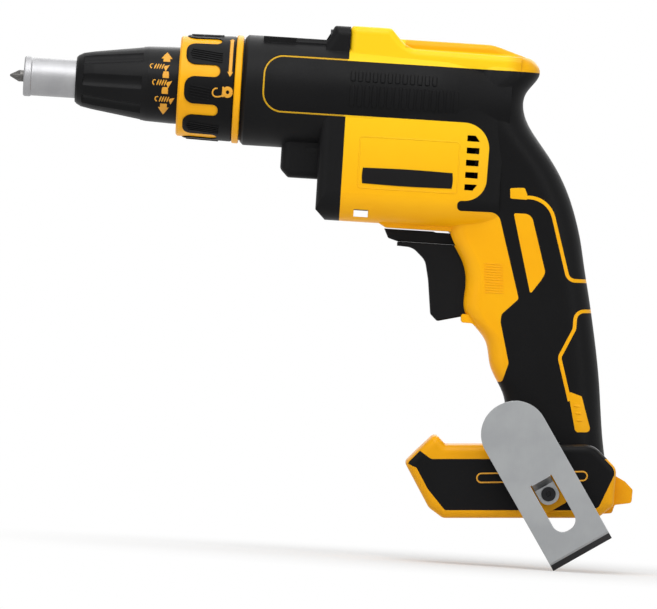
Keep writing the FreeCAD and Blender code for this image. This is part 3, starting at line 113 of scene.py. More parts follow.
# Points closer than this, in metres, are one point of a mesh.
MERGE_M = 1e-7


class Side(Enum):
    """The tool's two sides, by the sign of Y."""

    LEFT = -1.0
    RIGHT = 1.0


class Grain(Enum):
    """Fine surface of a finish."""

    MOULDED = "spark-eroded mould texture"
    RUBBER = "pebbled soft overmould"
    BRUSHED = "lines along one direction"
    TURNED = "rings round the X axis"
    LAMINATED = "stacked sheets along X"
    WOUND = "laid wire"
    PRINTED = "smooth ink film"


def tint(red: int, green: int, blue: int) -> Colour:
    """Turn an sRGB colour of 0 to 255 into Blender's linear colour.

    Args:
        red: red share.
        green: green share.
        blue: blue share.

    Returns:
        Linear red, green, blue and an alpha of one.
    """
    shares = np.array([red, green, blue]) / 255.0
    low = shares / SRGB_SLOPE
    high = ((shares + SRGB_OFFSET) / (1.0 + SRGB_OFFSET)) ** SRGB_POWER
    linear = np.where(shares <= SRGB_KNEE, low, high)
    return (float(linear[0]), float(linear[1]), float(linear[2]), 1.0)


class Signal:
    """A shader socket that does arithmetic: each operator adds one Math node."""

    def __init__(self, shade: "Shade", socket: bpy.types.NodeSocket) -> None:
        """Keep the socket and the shade that owns it."""
        self.shade = shade
        self.socket = socket

    def _join(self, operation: str, first: Term, second: Term) -> "Signal":
        """Add a Math node of that operation."""
        return self.shade.add("ShaderNodeMath", {"operation": operation}, {0: first, 1: second})

    def __add__(self, other: Term) -> "Signal":
        """Sum."""
        return self._join("ADD", self, other)

    def __radd__(self, other: Term) -> "Signal":
        """Sum with a number in front."""
        return self._join("ADD", other, self)

    def __sub__(self, other: Term) -> "Signal":
        """Difference."""
        return self._join("SUBTRACT", self, other)

    def __rsub__(self, other: Term) -> "Signal":
        """Difference from a number."""
        return self._join("SUBTRACT", other, self)

    def __mul__(self, other: Term) -> "Signal":
        """Product."""
        return self._join("MULTIPLY", self, other)

    def __rmul__(self, other: Term) -> "Signal":
        """Product with a number in front."""
        return self._join("MULTIPLY", other, self)

    def part(self, axis: int) -> "Signal":
        """One coordinate of a place, 0 to 2 for X to Z."""
        return self.shade.add("ShaderNodeSeparateXYZ", {}, {0: self}, out=axis)

    def between(self, low: float, high: float) -> "Signal":
        """Ramp smoothly from 0 at low to 1 at high."""
        settings = {"interpolation_type": "SMOOTHSTEP"}
        return self.shade.add("ShaderNodeMapRange", settings, {0: self, 1: low, 2: high})

    def within(self, span: Span, soft: float) -> "Signal":
        """Rise from 0 to 1 at the span's start and fall again at its end, over a soft width."""
        rise, fall = (self.between(edge, edge + soft) for edge in span)
        return rise * (1.0 - fall)


class Shade:
    """A node tree that is filled node by node."""

    def __init__(self, tree: bpy.types.NodeTree) -> None:
        """Keep a node tree and empty it."""
        self.tree = tree
        self.tree.nodes.clear()

    def add(
        self,
        kind: str,
        settings: dict[str, object] | None = None,
        values: dict[int | str, object] | None = None,
        out: int | str = 0,
    ) -> Signal:
        """Add any node, set it up and link it.

        Args:
            kind: the node's type name.
            settings: its own properties, set before its sockets.
            values: what goes into its sockets, a Signal or a plain value.
            out: which output to hand on.

        Returns:
            The chosen output as a Signal.
        """
        node = self.tree.nodes.new(kind)
        for key, setting in (settings or {}).items():
            setattr(node, key, setting)
        for key, given in (values or {}).items():
            if isinstance(given, Signal):
                self.tree.links.new(given.socket, node.inputs[key])
            else:
                node.inputs[key].default_value = given
        return Signal(self, node.outputs[out])

    def place(self) -> Signal:
        """Object coordinates, which are the row frame in metres."""
        return self.add("ShaderNodeTexCoord", out="Object")

    def stretched(self, scale: Spot) -> Signal:
        """Object coordinates scaled along each axis."""
        return self.add("ShaderNodeMapping", {}, {"Vector": self.place(), "Scale": scale})

    def noise(self, where: Signal, scale: float, detail: float) -> Signal:
        """Smooth noise from 0 to 1."""
        values = {"Vector": where, "Scale": scale, "Detail": detail}
        return self.add("ShaderNodeTexNoise", {}, values)

    def mixed(self, share: Signal, first: object, second: object) -> Signal:
        """Mix two colours by a share from 0 to 1."""
        settings = {"data_type": "RGBA"}
        return self.add("ShaderNodeMix", settings, {0: share, 6: first, 7: second}, out=2)

    def seen(self) -> Signal:
        """Give 1 to rays from the camera, from reflections and through clear material, else 0."""
        kinds = ("Is Camera Ray", "Is Glossy Ray", "Is Transmission Ray")
        camera, gloss, clear = (self.add("ShaderNodeLightPath", out=kind) for kind in kinds)
        return (camera + gloss + clear).between(0.0, 1.0)

    def close(self, shader: Signal, kind: str = "ShaderNodeOutputMaterial") -> None:
        """Link a shader to the surface of a new output node."""
        output = self.tree.nodes.new(kind)
        self.tree.links.new(shader.socket, output.inputs["Surface"])


def node_material(name: str) -> bpy.types.Material:
    """Start a material whose look comes from nodes.

    Args:
        name: name of the material.

    Returns:
        The new material.
    """
    material = bpy.data.materials.new(name)
    material.use_nodes = True
    return material


@dataclass(frozen=True)
class Zone:
    """A box in a frame turned in the side view, where a finish takes another colour.

    With d = (X - x0, Z - z0), the box's own coordinates are a = d . (cos q, sin q) along it
    and b = d . (-sin q, cos q) up from it, both in millimetres.
    """

    colour: Colour
    along_mm: Span
    up_mm: Span
    soft_mm: float = 0.2
    origin_mm: Span = (0.0, 0.0)
    turn_deg: float = 0.0

    def share(self, shade: Shade) -> Signal:
        """How far a place lies inside the box, from 0 to 1.

        Args:
            shade: the material that gets the nodes.

        Returns:
            The share as a Signal.
        """
        place = shade.place()
        x = place.part(0) * PER_M - self.origin_mm[0]
        z = place.part(2) * PER_M - self.origin_mm[1]
        turn = math.radians(self.turn_deg)
        along = x * math.cos(turn) + z * math.sin(turn)
        up = z * math.cos(turn) - x * math.sin(turn)
        return along.within(self.along_mm, self.soft_mm) * up.within(self.up_mm, self.soft_mm)


@dataclass(frozen=True)
class Finish:
    """One finish of the tool, with sizes of its texture in millimetres."""

    name: str
    colour: Colour
    second: Colour
    grain: Grain
    roughness: float
    spread: float = 0.08
    metallic: float = 0.0
    coat: float = 0.0
    specular: float = 0.5
    grain_mm: float = 0.5
    depth_mm: float = 0.03
    patch_mm: float = 18.0
    worn: Colour | None = None
    worn_share: float = 0.0
    edge_mm: float = 0.4
    brush: Spot = (1.0, 1.0, 1.0)
    zones: tuple[Zone, ...] = ()
    # Painted light: a paler tint mixed in towards the top, between two heights in millimetres, so
    # that the top looks lit.
    upper: Colour | None = None
    painted_top_light_mm: Span = (-70.0, 20.0)

    def height(self, shade: Shade) -> Signal:
        """Height of the fine surface, from 0 to 1.

        Args:
            shade: the material that gets the nodes.

        Returns:
            The height as a Signal.
        """
        fine = PER_M / self.grain_mm
        place = shade.place()
        if self.grain is Grain.RUBBER:
            cells = {"Vector": place, "Scale": fine, "Smoothness": PEBBLE_SOFT}
            return 1.0 - shade.add("ShaderNodeTexVoronoi", {"feature": "SMOOTH_F1"}, cells)
        if self.grain is Grain.BRUSHED:
            return shade.noise(shade.stretched(self.brush), fine, LINE_DETAIL)
        if self.grain is Grain.TURNED:
            return shade.noise(shade.stretched(TURNED_SCALE), fine, LINE_DETAIL)
        if self.grain in (Grain.LAMINATED, Grain.WOUND):
            axis = "X" if self.grain is Grain.LAMINATED else "DIAGONAL"
            waves = {"Vector": place, "Scale": fine / FULL_TURN, "Distortion": WAVE_BEND}
            return shade.add("ShaderNodeTexWave", {"bands_direction": axis}, waves, out="Fac")
        return shade.noise(place, fine, FINE_DETAIL)

    def tinted(self, shade: Shade, height: Signal) -> Signal:
        """Colour over the surface: two tints in soft patches, a paler top that is painted light, and
        the zones, some of which are painted shade.

        Args:
            shade: the material that gets the nodes.
            height: height of the fine surface.

        Returns:
            The colour as a Signal.
        """
        place = shade.place()
        patches = shade.noise(place, PER_M / self.patch_mm, LINE_DETAIL).between(*PATCH_BAND)
        blend = patches * PATCH_SHARE + height * (1.0 - PATCH_SHARE)
        colour = shade.mixed(blend, self.colour, self.second)
        # Painted light: the colour pales from the bottom up to the top.
        if self.upper is not None:
            low, high = self.painted_top_light_mm
            colour = shade.mixed(place.part(2).between(low * MM, high * MM), colour, self.upper)
        for zone in self.zones:
            colour = shade.mixed(zone.share(shade), colour, zone.colour)
        return colour

    def edge_wear(self, shade: Shade, soft: Signal) -> Signal:
        """Share of wear: broken patches where the bevelled normal leaves the true one.

        Args:
            shade: the material that gets the nodes.
            soft: the bevelled normal.

        Returns:
            The share as a Signal.
        """
        flat = shade.add("ShaderNodeNewGeometry", out="True Normal")
        product = {"operation": "DOT_PRODUCT"}
        facing = shade.add("ShaderNodeVectorMath", product, {0: soft, 1: flat}, out="Value")
        edge = (1.0 - facing).between(*EDGE_BAND)
        broken = shade.noise(shade.place(), WEAR_PER_M, LINE_DETAIL).between(*WEAR_BAND)
        return edge * broken * self.worn_share

    def material(self) -> bpy.types.Material:
        """Build the material: colour, worn edges, smeared roughness and the grain as a bump.

        Returns:
            The finished Blender material.
        """
        material = node_material(self.name)
        shade = Shade(material.node_tree)
        height = self.height(shade)
        colour = self.tinted(shade, height)
        bevel = {"Radius": self.edge_mm * MM}
        soft = shade.add("ShaderNodeBevel", {"samples": BEVEL_SAMPLES}, bevel)
        if self.worn is not None:
            colour = shade.mixed(self.edge_wear(shade, soft), colour, self.worn)
        smears = shade.noise(shade.stretched(SMEAR_SCALE), SMEARS_PER_M, FINE_DETAIL)
        rough = self.roughness + (smears - 0.5) * (2.0 * self.spread) + (height - 0.5) * self.spread
        bump = {"Height": height, "Distance": self.depth_mm * MM, "Strength": 1.0, "Normal": soft}
        values = {
            "Base Color": colour,
            "Roughness": rough,
            "Metallic": self.metallic,
            "Coat Weight": self.coat,
            "Specular IOR Level": self.specular,
            "Normal": shade.add("ShaderNodeBump", {}, bump),
        }
        shade.close(shade.add("ShaderNodeBsdfPrincipled", {}, values))
        return material


FOOT_ORIGIN = (268.4, -204.5)
FOOT_TURN = 3.6
HOOK_ORIGIN = (281.1, -191.7)
HOOK_TURN = 33.1
# Painted shade: a deeper yellow over the foot, which lies lowest and darkest.
FOOT_LOW_SHADE = Zone(tint(236, 164, 8), (-70.0, 80.0), (-30.0, 36.0), 6.0, FOOT_ORIGIN, FOOT_TURN)
FOOT_TOP = Zone(tint(19, 19, 20), (6.8, 45.0), (29.2, 39.0), 0.2, FOOT_ORIGIN, FOOT_TURN)
# Painted shade: a deeper yellow on the roof's ridge, whose side lies in shade.
RIDGE_SHADE = Zone(tint(238, 176, 10), (196.0, 262.0), (25.4, 33.0), 0.6)
# Painted shade: a deeper yellow on the roof's rear end, where it turns away from the light.
ROOF_END_SHADE = Zone(tint(236, 172, 10), (246.0, 280.0), (0.0, 40.0), 9.0)
NECK = Zone(tint(16, 16, 17), (248.0, 290.0), (-34.0, 17.25))
PANEL_LINE = Zone(tint(208, 160, 26), (118.0, 168.0), (-26.0, 21.0))
# Painted shade: dark grey on the hook's bent bottom lip, which faces down.
HOOK_LIP_SHADE = Zone(tint(40, 40, 42), (-20.0, 20.0), (-40.0, -31.4), 0.2, HOOK_ORIGIN, HOOK_TURN)

# The upper tint is painted light that pales the shell towards the top.
YELLOW = Finish(
    "yellow_shell", tint(251, 180, 8), tint(249, 174, 6), Grain.MOULDED, 0.38,
    specular=0.16, grain_mm=0.35, depth_mm=0.012, worn=tint(255, 210, 70), worn_share=0.3,
    zones=(FOOT_LOW_SHADE, FOOT_TOP, RIDGE_SHADE, ROOF_END_SHADE, NECK, PANEL_LINE), upper=tint(252, 208, 26),
)
GOLD = Finish(
    "gold_plastic", tint(250, 180, 10), tint(247, 172, 8), Grain.MOULDED, 0.38,
    specular=0.18, grain_mm=0.35, depth_mm=0.01, worn=tint(255, 204, 80), worn_share=0.3,
)
SOFT_GRIP = Finish(
    "soft_grip", tint(16, 16, 17), tint(13, 13, 14), Grain.RUBBER, 0.46,
    specular=0.09, grain_mm=0.7, depth_mm=0.03, worn=tint(48, 48, 50), worn_share=0.35,
)
BLACK = Finish(
    "black_plastic", tint(19, 19, 20), tint(16, 16, 17), Grain.MOULDED, 0.36,
    specular=0.1, grain_mm=0.4, depth_mm=0.015, worn=tint(54, 54, 56), worn_share=0.35,
)
CAST = Finish(
    "dark_aluminium", tint(19, 19, 20), tint(16, 16, 17), Grain.MOULDED, 0.46,
    specular=0.1, grain_mm=0.9, depth_mm=0.02, worn=tint(70, 70, 72), worn_share=0.4,
)
SATIN = Finish(
    "satin_steel", tint(168, 168, 169), tint(150, 150, 152), Grain.TURNED, 0.46,
    metallic=1.0, grain_mm=0.25, depth_mm=0.006, worn=tint(222, 222, 222), worn_share=0.4,
)
BIT = Finish(
    "bit_steel", tint(112, 110, 108), tint(88, 87, 86), Grain.TURNED, 0.38,
    metallic=1.0, grain_mm=0.3, depth_mm=0.01, worn=tint(176, 174, 170), worn_share=0.7,
)
SPRING = Finish(
    "spring_steel", tint(148, 148, 150), tint(122, 122, 126), Grain.TURNED, 0.3,
    metallic=1.0, grain_mm=0.3, depth_mm=0.006,
)
GEAR = Finish(
    "gear_steel", tint(138, 138, 140), tint(112, 112, 116), Grain.TURNED, 0.32,
    metallic=1.0, grain_mm=0.3, depth_mm=0.008, worn=tint(200, 200, 200), worn_share=0.6,
)
LAMINATION = Finish(
    "lamination", tint(108, 110, 114), tint(86, 88, 92), Grain.LAMINATED, 0.42,
    metallic=0.9, grain_mm=0.6, depth_mm=0.05,
)
MAGNET = Finish(
    "magnet", tint(120, 122, 126), tint(100, 102, 106), Grain.MOULDED, 0.3,
    metallic=0.9, grain_mm=0.4, depth_mm=0.01,
)
COPPER = Finish(
    "copper_wire", tint(190, 96, 46), tint(160, 72, 32), Grain.WOUND, 0.32,
    metallic=0.9, coat=0.4, grain_mm=0.9, depth_mm=0.2,
)
BOARD = Finish(
    "board", tint(22, 84, 44), tint(16, 66, 36), Grain.MOULDED, 0.42,
    coat=0.4, grain_mm=1.2, depth_mm=0.01,
)
BRONZE = Finish(
    "bronze", tint(176, 132, 74), tint(150, 108, 58), Grain.TURNED, 0.36,
    metallic=1.0, grain_mm=0.4, depth_mm=0.01,
)
BLADE = Finish(
    "blade_metal", tint(196, 190, 172), tint(178, 168, 146), Grain.BRUSHED, 0.28,
    metallic=1.0, grain_mm=0.3, depth_mm=0.006, brush=(0.05, 1.0, 1.0),
)
# Its zone darkens the bent bottom lip as painted shade.
HOOK = Finish(
    "hook_steel", tint(166, 168, 169), tint(154, 156, 158), Grain.BRUSHED, 0.36,
    metallic=0.85, grain_mm=0.35, depth_mm=0.008, brush=(1.0, 1.0, 0.05),
    worn=tint(226, 227, 228), worn_share=0.6, zones=(HOOK_LIP_SHADE,),
)
SCREW = Finish(
    "dark_screw", tint(28, 28, 30), tint(22, 22, 24), Grain.TURNED, 0.34,
    metallic=0.7, grain_mm=0.3, depth_mm=0.008, worn=tint(96, 96, 98), worn_share=0.35,
)
INK = Finish(
    "yellow_print", tint(236, 170, 40), tint(224, 156, 30), Grain.PRINTED, 0.5,
    grain_mm=0.3, depth_mm=0.004,
)
PLATE = Finish(
    "bare_plate", tint(18, 17, 18), tint(22, 21, 22), Grain.BRUSHED, 0.34,
    specular=0.12, grain_mm=0.5, depth_mm=0.004, brush=(0.04, 1.0, 1.0),
)

FINISHES = (
    YELLOW, GOLD, SOFT_GRIP, BLACK, CAST, SATIN, BIT, SPRING, GEAR, LAMINATION, MAGNET,
    COPPER, BOARD, BRONZE, BLADE, HOOK, SCREW, INK, PLATE,
)

NODE_FINISH: dict[str, Finish] = {
    "driver_bit": BIT, "bit_holder": SATIN, "bit_magnet": MAGNET, "nose_sleeve": SATIN,
    "depth_cone": BLACK, "lock_collar": GOLD, "lock_collar_grip": SOFT_GRIP, "spindle": GEAR,
    "thrust_washer": SATIN, "clutch_spring": SPRING, "spindle_bush": BRONZE,
    "spindle_seal": SOFT_GRIP, "gear_case": CAST, "bearing_plate": CAST, "drive_gear": GEAR,
    "pinion": GEAR, "gear_bearing": SATIN, "motor_front_bearing": SATIN,
    "motor_rear_bearing": SATIN, "gear_case_screws": SCREW, "motor_shaft": SATIN,
    "rotor_core": LAMINATION, "rotor_magnets": MAGNET, "stator_core": LAMINATION,
    "stator_coils": COPPER, "hall_board": BOARD, "cooling_fan": BLACK, "left_housing": YELLOW,
    "right_housing": YELLOW, "left_grip": SOFT_GRIP, "right_grip": SOFT_GRIP,
    "left_foot_pad": SOFT_GRIP, "right_foot_pad": SOFT_GRIP, "housing_screws": SCREW,
    "control_module": CAST, "trigger": BLACK, "switch_plunger": BLACK, "trigger_spring": SPRING,
    "trigger_switch": BLACK, "direction_lever": BLACK, "lever_pin": SATIN,
    "terminal_block": BLACK, "terminal_blades": BLADE, "belt_hook": HOOK,
    "belt_hook_screw": SCREW, "hook_nuts": BRONZE,
}


class Palette:
    """All materials of the tool by name of their finish."""

    def __init__(self) -> None:
        """Build every finish once."""
        self.made = {finish.name: finish.material() for finish in FINISHES}

    def dress(self, item: bpy.types.Object, finish: Finish) -> None:
        """Give an object one finish on all its faces.

        Args:
            item: a CAD node or a new piece.
            finish: its finish.
        """
        material = self.made[finish.name]
        if not item.data.materials:
            item.data.materials.append(material)
        for slot in item.material_slots:
            slot.material = material

    def keep(self, piece: bpy.types.Object, finish: Finish, body: str, slot: str) -> None:
        """Dress a new piece and let it ride on a body.

        Args:
            piece: the new piece, at the origin.
            finish: its finish.
            body: the body it moves with.
            slot: not used.
        """
        self.dress(piece, finish)
        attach(piece, body)


def grid_faces(
    rows: int, columns: int, start: int = 0, ring: bool = False, caps: bool = True
) -> list[list[int]]:
    """Number the faces of a tube of points, whose columns join round.

    Point (i, j) joins its neighbours (i+1, j), (i+1, j+1) and (i, j+1) in one quad.

    Args:
        rows: points along the tube.
        columns: points round it.
        start: number of the first point.
        ring: whether the last row joins the first.
        caps: whether the ends of an open tube are closed.

    Returns:
        The corner numbers of each face.
    """
    index = start + np.arange(rows * columns).reshape(rows, columns)
    ends = index[0].tolist(), index[-1, ::-1].tolist()
    index = np.hstack([index, index[:, :1]])
    if ring:
        index = np.vstack([index, index[:1]])
    quads = np.stack([index[:-1, :-1], index[1:, :-1], index[1:, 1:], index[:-1, 1:]], axis=-1)
    faces = quads.reshape(-1, 4).tolist()
    if caps and not ring:
        faces.extend(ends)
    return faces


def mesh_object(name: str, points: np.ndarray, faces: list[list[int]]) -> bpy.types.Object:
    """Make an object from points and faces.

    Args:
        name: name of the new object.
        points: coordinates in metres, the last axis being X to Z.
        faces: corner numbers of each face.

    Returns:
        The new object, linked to the scene.
    """
    mesh = bpy.data.meshes.new(name)
    mesh.from_pydata(points.reshape(-1, 3).tolist(), [], faces)
    mesh.validate()
    item = bpy.data.objects.new(name, mesh)
    bpy.context.scene.collection.objects.link(item)
    return item


def outwards(item: bpy.types.Object) -> bpy.types.Object:
    """Merge a closed mesh's double points and turn its faces outwards.

    Args:
        item: the object to mend.

    Returns:
        The same object.
    """
    work = bmesh.new()
    work.from_mesh(item.data)
    bmesh.ops.remove_doubles(work, verts=work.verts, dist=MERGE_M)
    bmesh.ops.recalc_face_normals(work, faces=work.faces)
    work.to_mesh(item.data)
    work.free()
    return item


def tube(name: str, points: np.ndarray, ring: bool = False) -> bpy.types.Object:
    """Make a closed piece from a grid of points in millimetres, rows along and columns round it."""
    faces = grid_faces(*points.shape[:2], ring=ring)
    return outwards(mesh_object(name, points * MM, faces))


def arc(middle: Span, radii: Span, degrees: Span, steps: int) -> np.ndarray:
    """Points (a cos q, b sin q) of an elliptic arc about its middle, q running between two angles."""
    turn = np.radians(np.linspace(degrees[0], degrees[1], steps))
    return np.array(middle) + np.array(radii) * np.stack([np.cos(turn), np.sin(turn)], axis=1)


def wrapped(
    along: Row, radii: Row, s: np.ndarray, t: np.ndarray, lift: np.ndarray
) -> np.ndarray:
    """Carry flat marks onto a surface turned about the X axis.

    With r the radius at X = s and a = t / r, the point is (s, -(r + lift) cos a, (r + lift) sin a).

    Args:
        along: X stations of the turned profile.
        radii: radius at each station.
        s: places along X.
        t: arc lengths round the axis.
        lift: heights over the surface.

    Returns:
        Points in millimetres.
    """
    radius = np.interp(s, along, radii)
    angle = t / radius
    out = radius + lift
    return np.stack([s, -out * np.cos(angle), out * np.sin(angle)], axis=-1)


def flank(half: HalfWidth, side: Side) -> Carrier:
    """Make the carrier of a flank: marks at X = s, Z = t lie at Y = half width + lift.

    Args:
        half: half width of the flank over X and Z.
        side: the side it is on.

    Returns:
        The carrier.
    """

    def carrier(s: np.ndarray, t: np.ndarray, lift: np.ndarray) -> np.ndarray:
        """Point of the flank at X = s and Z = t, raised by lift."""
        return np.stack([s, side.value * (half(s, t) + lift), t], axis=-1)

    return carrier


@dataclass
class Print:
    """Raised lines on a curved carrier, with a width that changes along them."""

    name: str
    carrier: Carrier
    thick_mm: float = 0.12
    sunk_mm: float = 0.25
    grids: list[np.ndarray] = field(default_factory=list)

    def stroke(self, path: Sequence[Sequence[float]], widths: Sequence[float] | float) -> None:
        """Lay one stroke.

        Along the path the width w runs between the given values. The cross-section is a box
        from -w/2 to w/2 and from the sunk to the full height, with its upper corners cut off
        from the shoulder's height to 0.3 w.

        Args:
            path: points (s, t) on the carrier in millimetres.
            widths: width at each point in millimetres, or one for all.
        """
        line = np.asarray(path, float)
        wide = np.broadcast_to(np.asarray(widths, float), len(line))
        ahead = np.gradient(line, axis=0)
        ahead /= np.linalg.norm(ahead, axis=1, keepdims=True)
        across = np.stack([-ahead[:, 1], ahead[:, 0]], axis=1)
        high, low = self.thick_mm, -self.sunk_mm
        lift = np.array([low, SHOULDER * high, high, high, SHOULDER * high, low])
        spots = line[:, None, :] + across[:, None, :] * (wide[:, None] * SECTION)[:, :, None]
        height = np.broadcast_to(lift, spots.shape[:2])
        self.grids.append(self.carrier(spots[..., 0], spots[..., 1], height))

    def straight(self, start: Span, end: Span, widths: Sequence[float]) -> None:
        """Lay a straight stroke whose widths stand at even steps."""
        self.stroke(np.linspace(start, end, len(widths)), widths)

    def arrow(self, s: float, start: float, end: float, head: float, bar: float) -> None:
        """Lay an arrow along t at place s.

        Args:
            s: place across the arrow in millimetres.
            start: where its bar starts.
            end: where its tip is.
            head: width of the head.
            bar: width of the bar.
        """
        neck = end - math.copysign(head * HEAD_LENGTH, end - start)
        self.straight((s, start), (s, neck), np.full(ARROW_STEPS, bar))
        point = head * np.linspace(1.0, 0.0, ARROW_STEPS) + ARROW_POINT
        self.straight((s, neck), (s, end), point)

    def done(self) -> bpy.types.Object:
        """Put all strokes into one piece.

        Returns:
            The piece, with its faces outwards.
        """
        faces: list[list[int]] = []
        start = 0
        for grid in self.grids:
            rows, columns = grid.shape[:2]
            faces.extend(grid_faces(rows, columns, start))
            start += rows * columns
        points = np.vstack([grid.reshape(-1, 3) for grid in self.grids])
        return outwards(mesh_object(self.name, points * MM, faces))


@dataclass(frozen=True)
class ScrewMark:
    """A small lying screw: countersunk head, slanted turns and a hooked tip, in millimetres."""

    head: tuple[Span, ...] = ((4.3, -0.9), (3.5, -0.5), (2.6, -0.1))
    head_widths: Row = (4.4, 2.6, 1.2)
    turns: int = 4
    first_turn: float = 1.9
    turn_pitch: float = 1.25
    turn_half: Span = (0.5, 1.4)
    turn_widths: Row = (0.5, 0.8, 0.5)
    tip_at: float = -3.5
    tip_radii: Span = (0.95, 1.2)
    tip_arc: Span = (50.0, 270.0)
    tip_widths: Span = (0.45, 0.7)
    tip_steps: int = 9

    def lay(self, marks: Print, s: float, t: float) -> None:
        """Lay the mark.

        Args:
            marks: the print that takes its strokes.
            s: place of its middle along the carrier.
            t: place of its middle across it.
        """
        marks.stroke(np.array([s, t]) + np.array(self.head), self.head_widths)
        lean, half = self.turn_half
        for turn in range(self.turns):
            x = s + self.first_turn - self.turn_pitch * turn
            marks.straight((x + lean, t + half), (x - lean, t - half), self.turn_widths)
        tip = arc((s + self.tip_at, t), self.tip_radii, self.tip_arc, self.tip_steps)
        marks.stroke(tip, np.linspace(self.tip_widths[0], self.tip_widths[1], self.tip_steps))


@dataclass(frozen=True)
class LockMark:
    """An open padlock: a ring round the free keyhole, a bar beside it and a bent shackle."""

    ring_radii: Span = (1.75, 1.9)
    ring_width: float = 1.9
    ring_steps: int = 33
    bar_at: float = -2.3
    bar_half: float = 2.6
    bar_widths: Row = (1.0, 0.9, 1.0)
    bow_at: Span = (-5.6, -0.5)
    bow_radii: Span = (1.9, 2.1)
    bow_arc: Span = (75.0, 275.0)
    bow_steps: int = 15
    arm: tuple[Span, ...] = ((-4.4, -2.55), (-3.4, -2.3), (-2.4, -1.9))
    wire: float = 0.75

    def lay(self, marks: Print, s: float, t: float) -> None:
        """Lay the mark.

        Args:
            marks: the print that takes its strokes.
            s: place of the keyhole along the carrier.
            t: place of the keyhole across it.
        """
        middle = np.array([s, t])
        marks.stroke(arc((s, t), self.ring_radii, (0.0, 360.0), self.ring_steps), self.ring_width)
        x = s + self.bar_at
        marks.straight((x, t + self.bar_half), (x, t - self.bar_half), self.bar_widths)
        bow = arc(self.bow_at, self.bow_radii, self.bow_arc, self.bow_steps)
        marks.stroke(middle + np.vstack([bow, self.arm]), self.wire)


@dataclass
class Nose:
    """Marks and ribs on the depth cone and the locking collar, in millimetres.

    An arrow is given as place, start, end, width of its head and width of its bar.
    """

    palette: Palette
    cone_x: Row = (33.0, 34.0, 37.0, 42.0, 69.0, 81.0, 96.0)
    cone_r: Row = (11.2, 12.2, 13.8, 14.8, 18.7, 19.2, 19.2)
    cone_arrows: tuple[Row, ...] = ((78.0, 12.0, 19.0, 5.6, 3.4), (77.7, -10.2, -17.2, 5.4, 3.4))
    cone_screws: tuple[Span, ...] = ((74.4, 9.1), (76.1, 0.7), (77.8, -7.7))
    cone_bars: tuple[Span, ...] = ((78.0, 4.8), (78.0, -3.2))
    bar_half: float = 1.7
    bar_widths: Row = (2.6, 3.2, 3.2)
    collar_x: Row = (87.5, 88.7, 111.6, 112.4)
    collar_r: Row = (25.2, 25.8, 26.3, 25.8)
    collar_arrows: tuple[Row, ...] = ((110.0, 18.0, 32.0, 2.9, 1.7), (110.0, 18.2, 5.5, 2.9, 1.7))
    collar_phase: float = 63.0
    lock_at: Span = (109.3, -2.2)
    lock_pad: int = 6
    mark_room: float = 5.0
    pad_count: int = 8
    pad_ribs: int = 5
    rib_x: Span = (89.6, 105.8)
    rib_pitch: float = 1.35
    rib_step: float = 0.5
    rib_taper: float = 0.6
    rib_widths: Row = (0.3, 0.7, 0.7, 0.7, 0.3)
    rib_high: float = 0.45

    def on_cone(self, s: np.ndarray, t: np.ndarray, lift: np.ndarray) -> np.ndarray:
        """Point of the cone at X = s, arc length t from the left side, raised by lift."""
        return wrapped(self.cone_x, self.cone_r, s, t, lift)

    def on_collar(self, s: np.ndarray, t: np.ndarray, lift: np.ndarray) -> np.ndarray:
        """Point of the collar pads at X = s, arc length t from the left side, raised by lift."""
        return wrapped(self.collar_x, self.collar_r, s, t, lift)

    def build(self) -> None:
        """Lay the marks on cone and collar and the ribs on the collar's pads."""
        chain = Print("cone_marks", self.on_cone)
        for arrow in self.cone_arrows:
            chain.arrow(*arrow)
        for spot in self.cone_screws:
            ScrewMark().lay(chain, *spot)
        for s, t in self.cone_bars:
            chain.straight((s, t + self.bar_half), (s, t - self.bar_half), self.bar_widths)
        self.palette.keep(chain.done(), INK, "depth_cone", "gold_plastic")
        lock = Print("collar_marks", self.on_collar)
        for arrow in self.collar_arrows:
            lock.arrow(*arrow)
        LockMark().lay(lock, *self.lock_at)
        self.palette.keep(lock.done(), INK, "lock_collar", "gold_plastic")
        self.palette.keep(self.collar_ribs(), SOFT_GRIP, "lock_collar", "soft_grip")

    def collar_ribs(self) -> bpy.types.Object:
        """Lay the ribs on each pad of the collar.

        Rib k of a pad lies along X at the arc length m + p k from the left side, where m is
        the pad's middle, p the pitch and k runs from -2 to 2; on the padlock's pad the ribs
        end before the mark.

        Returns:
            The ribs as one piece.
        """
        ribs = Print("collar_ribs", self.on_collar, self.rib_high)
        radius = float(np.mean(self.collar_r))
        for pad in range(self.pad_count):
            angle = self.collar_phase + (pad + 0.5) * 360.0 / self.pad_count
            middle = math.radians(angle) * radius
            end = self.rib_x[1] - (self.mark_room if pad == self.lock_pad else 0.0)
            for rib in range(self.pad_ribs):
                aside = rib - self.pad_ribs // 2
                start = self.rib_x[0] + self.rib_step * abs(aside)
                ends = start + self.rib_taper, end - self.rib_taper
                along = np.array([start, ends[0], (start + end) / 2.0, ends[1], end])
                round_axis = np.full(len(along), middle + self.rib_pitch * aside)
                ribs.stroke(np.stack([along, round_axis], axis=1), self.rib_widths)
        return ribs.done()


@dataclass(frozen=True)
class RibStack:
    """Short level ribs one under the other on a flank, in millimetres.

    The first is the front end (X, Z) of the top rib and the step leads to the next rib.
    """

    count: int
    first: Span
    step: Span
    length: float
    widths: Row
    high: float
    sunk: float = 0.5

    def lay(self, name: str, carrier: Carrier) -> bpy.types.Object:
        """Lay the ribs.

        Args:
            name: name of the piece.
            carrier: the flank they lie on.

        Returns:
            The ribs as one piece.
        """
        ribs = Print(name, carrier, self.high, self.sunk)
        for row in range(self.count):
            x, z = self.first[0] + self.step[0] * row, self.first[1] + self.step[1] * row
            ribs.straight((x, z), (x + self.length, z), self.widths)
        return ribs.done()


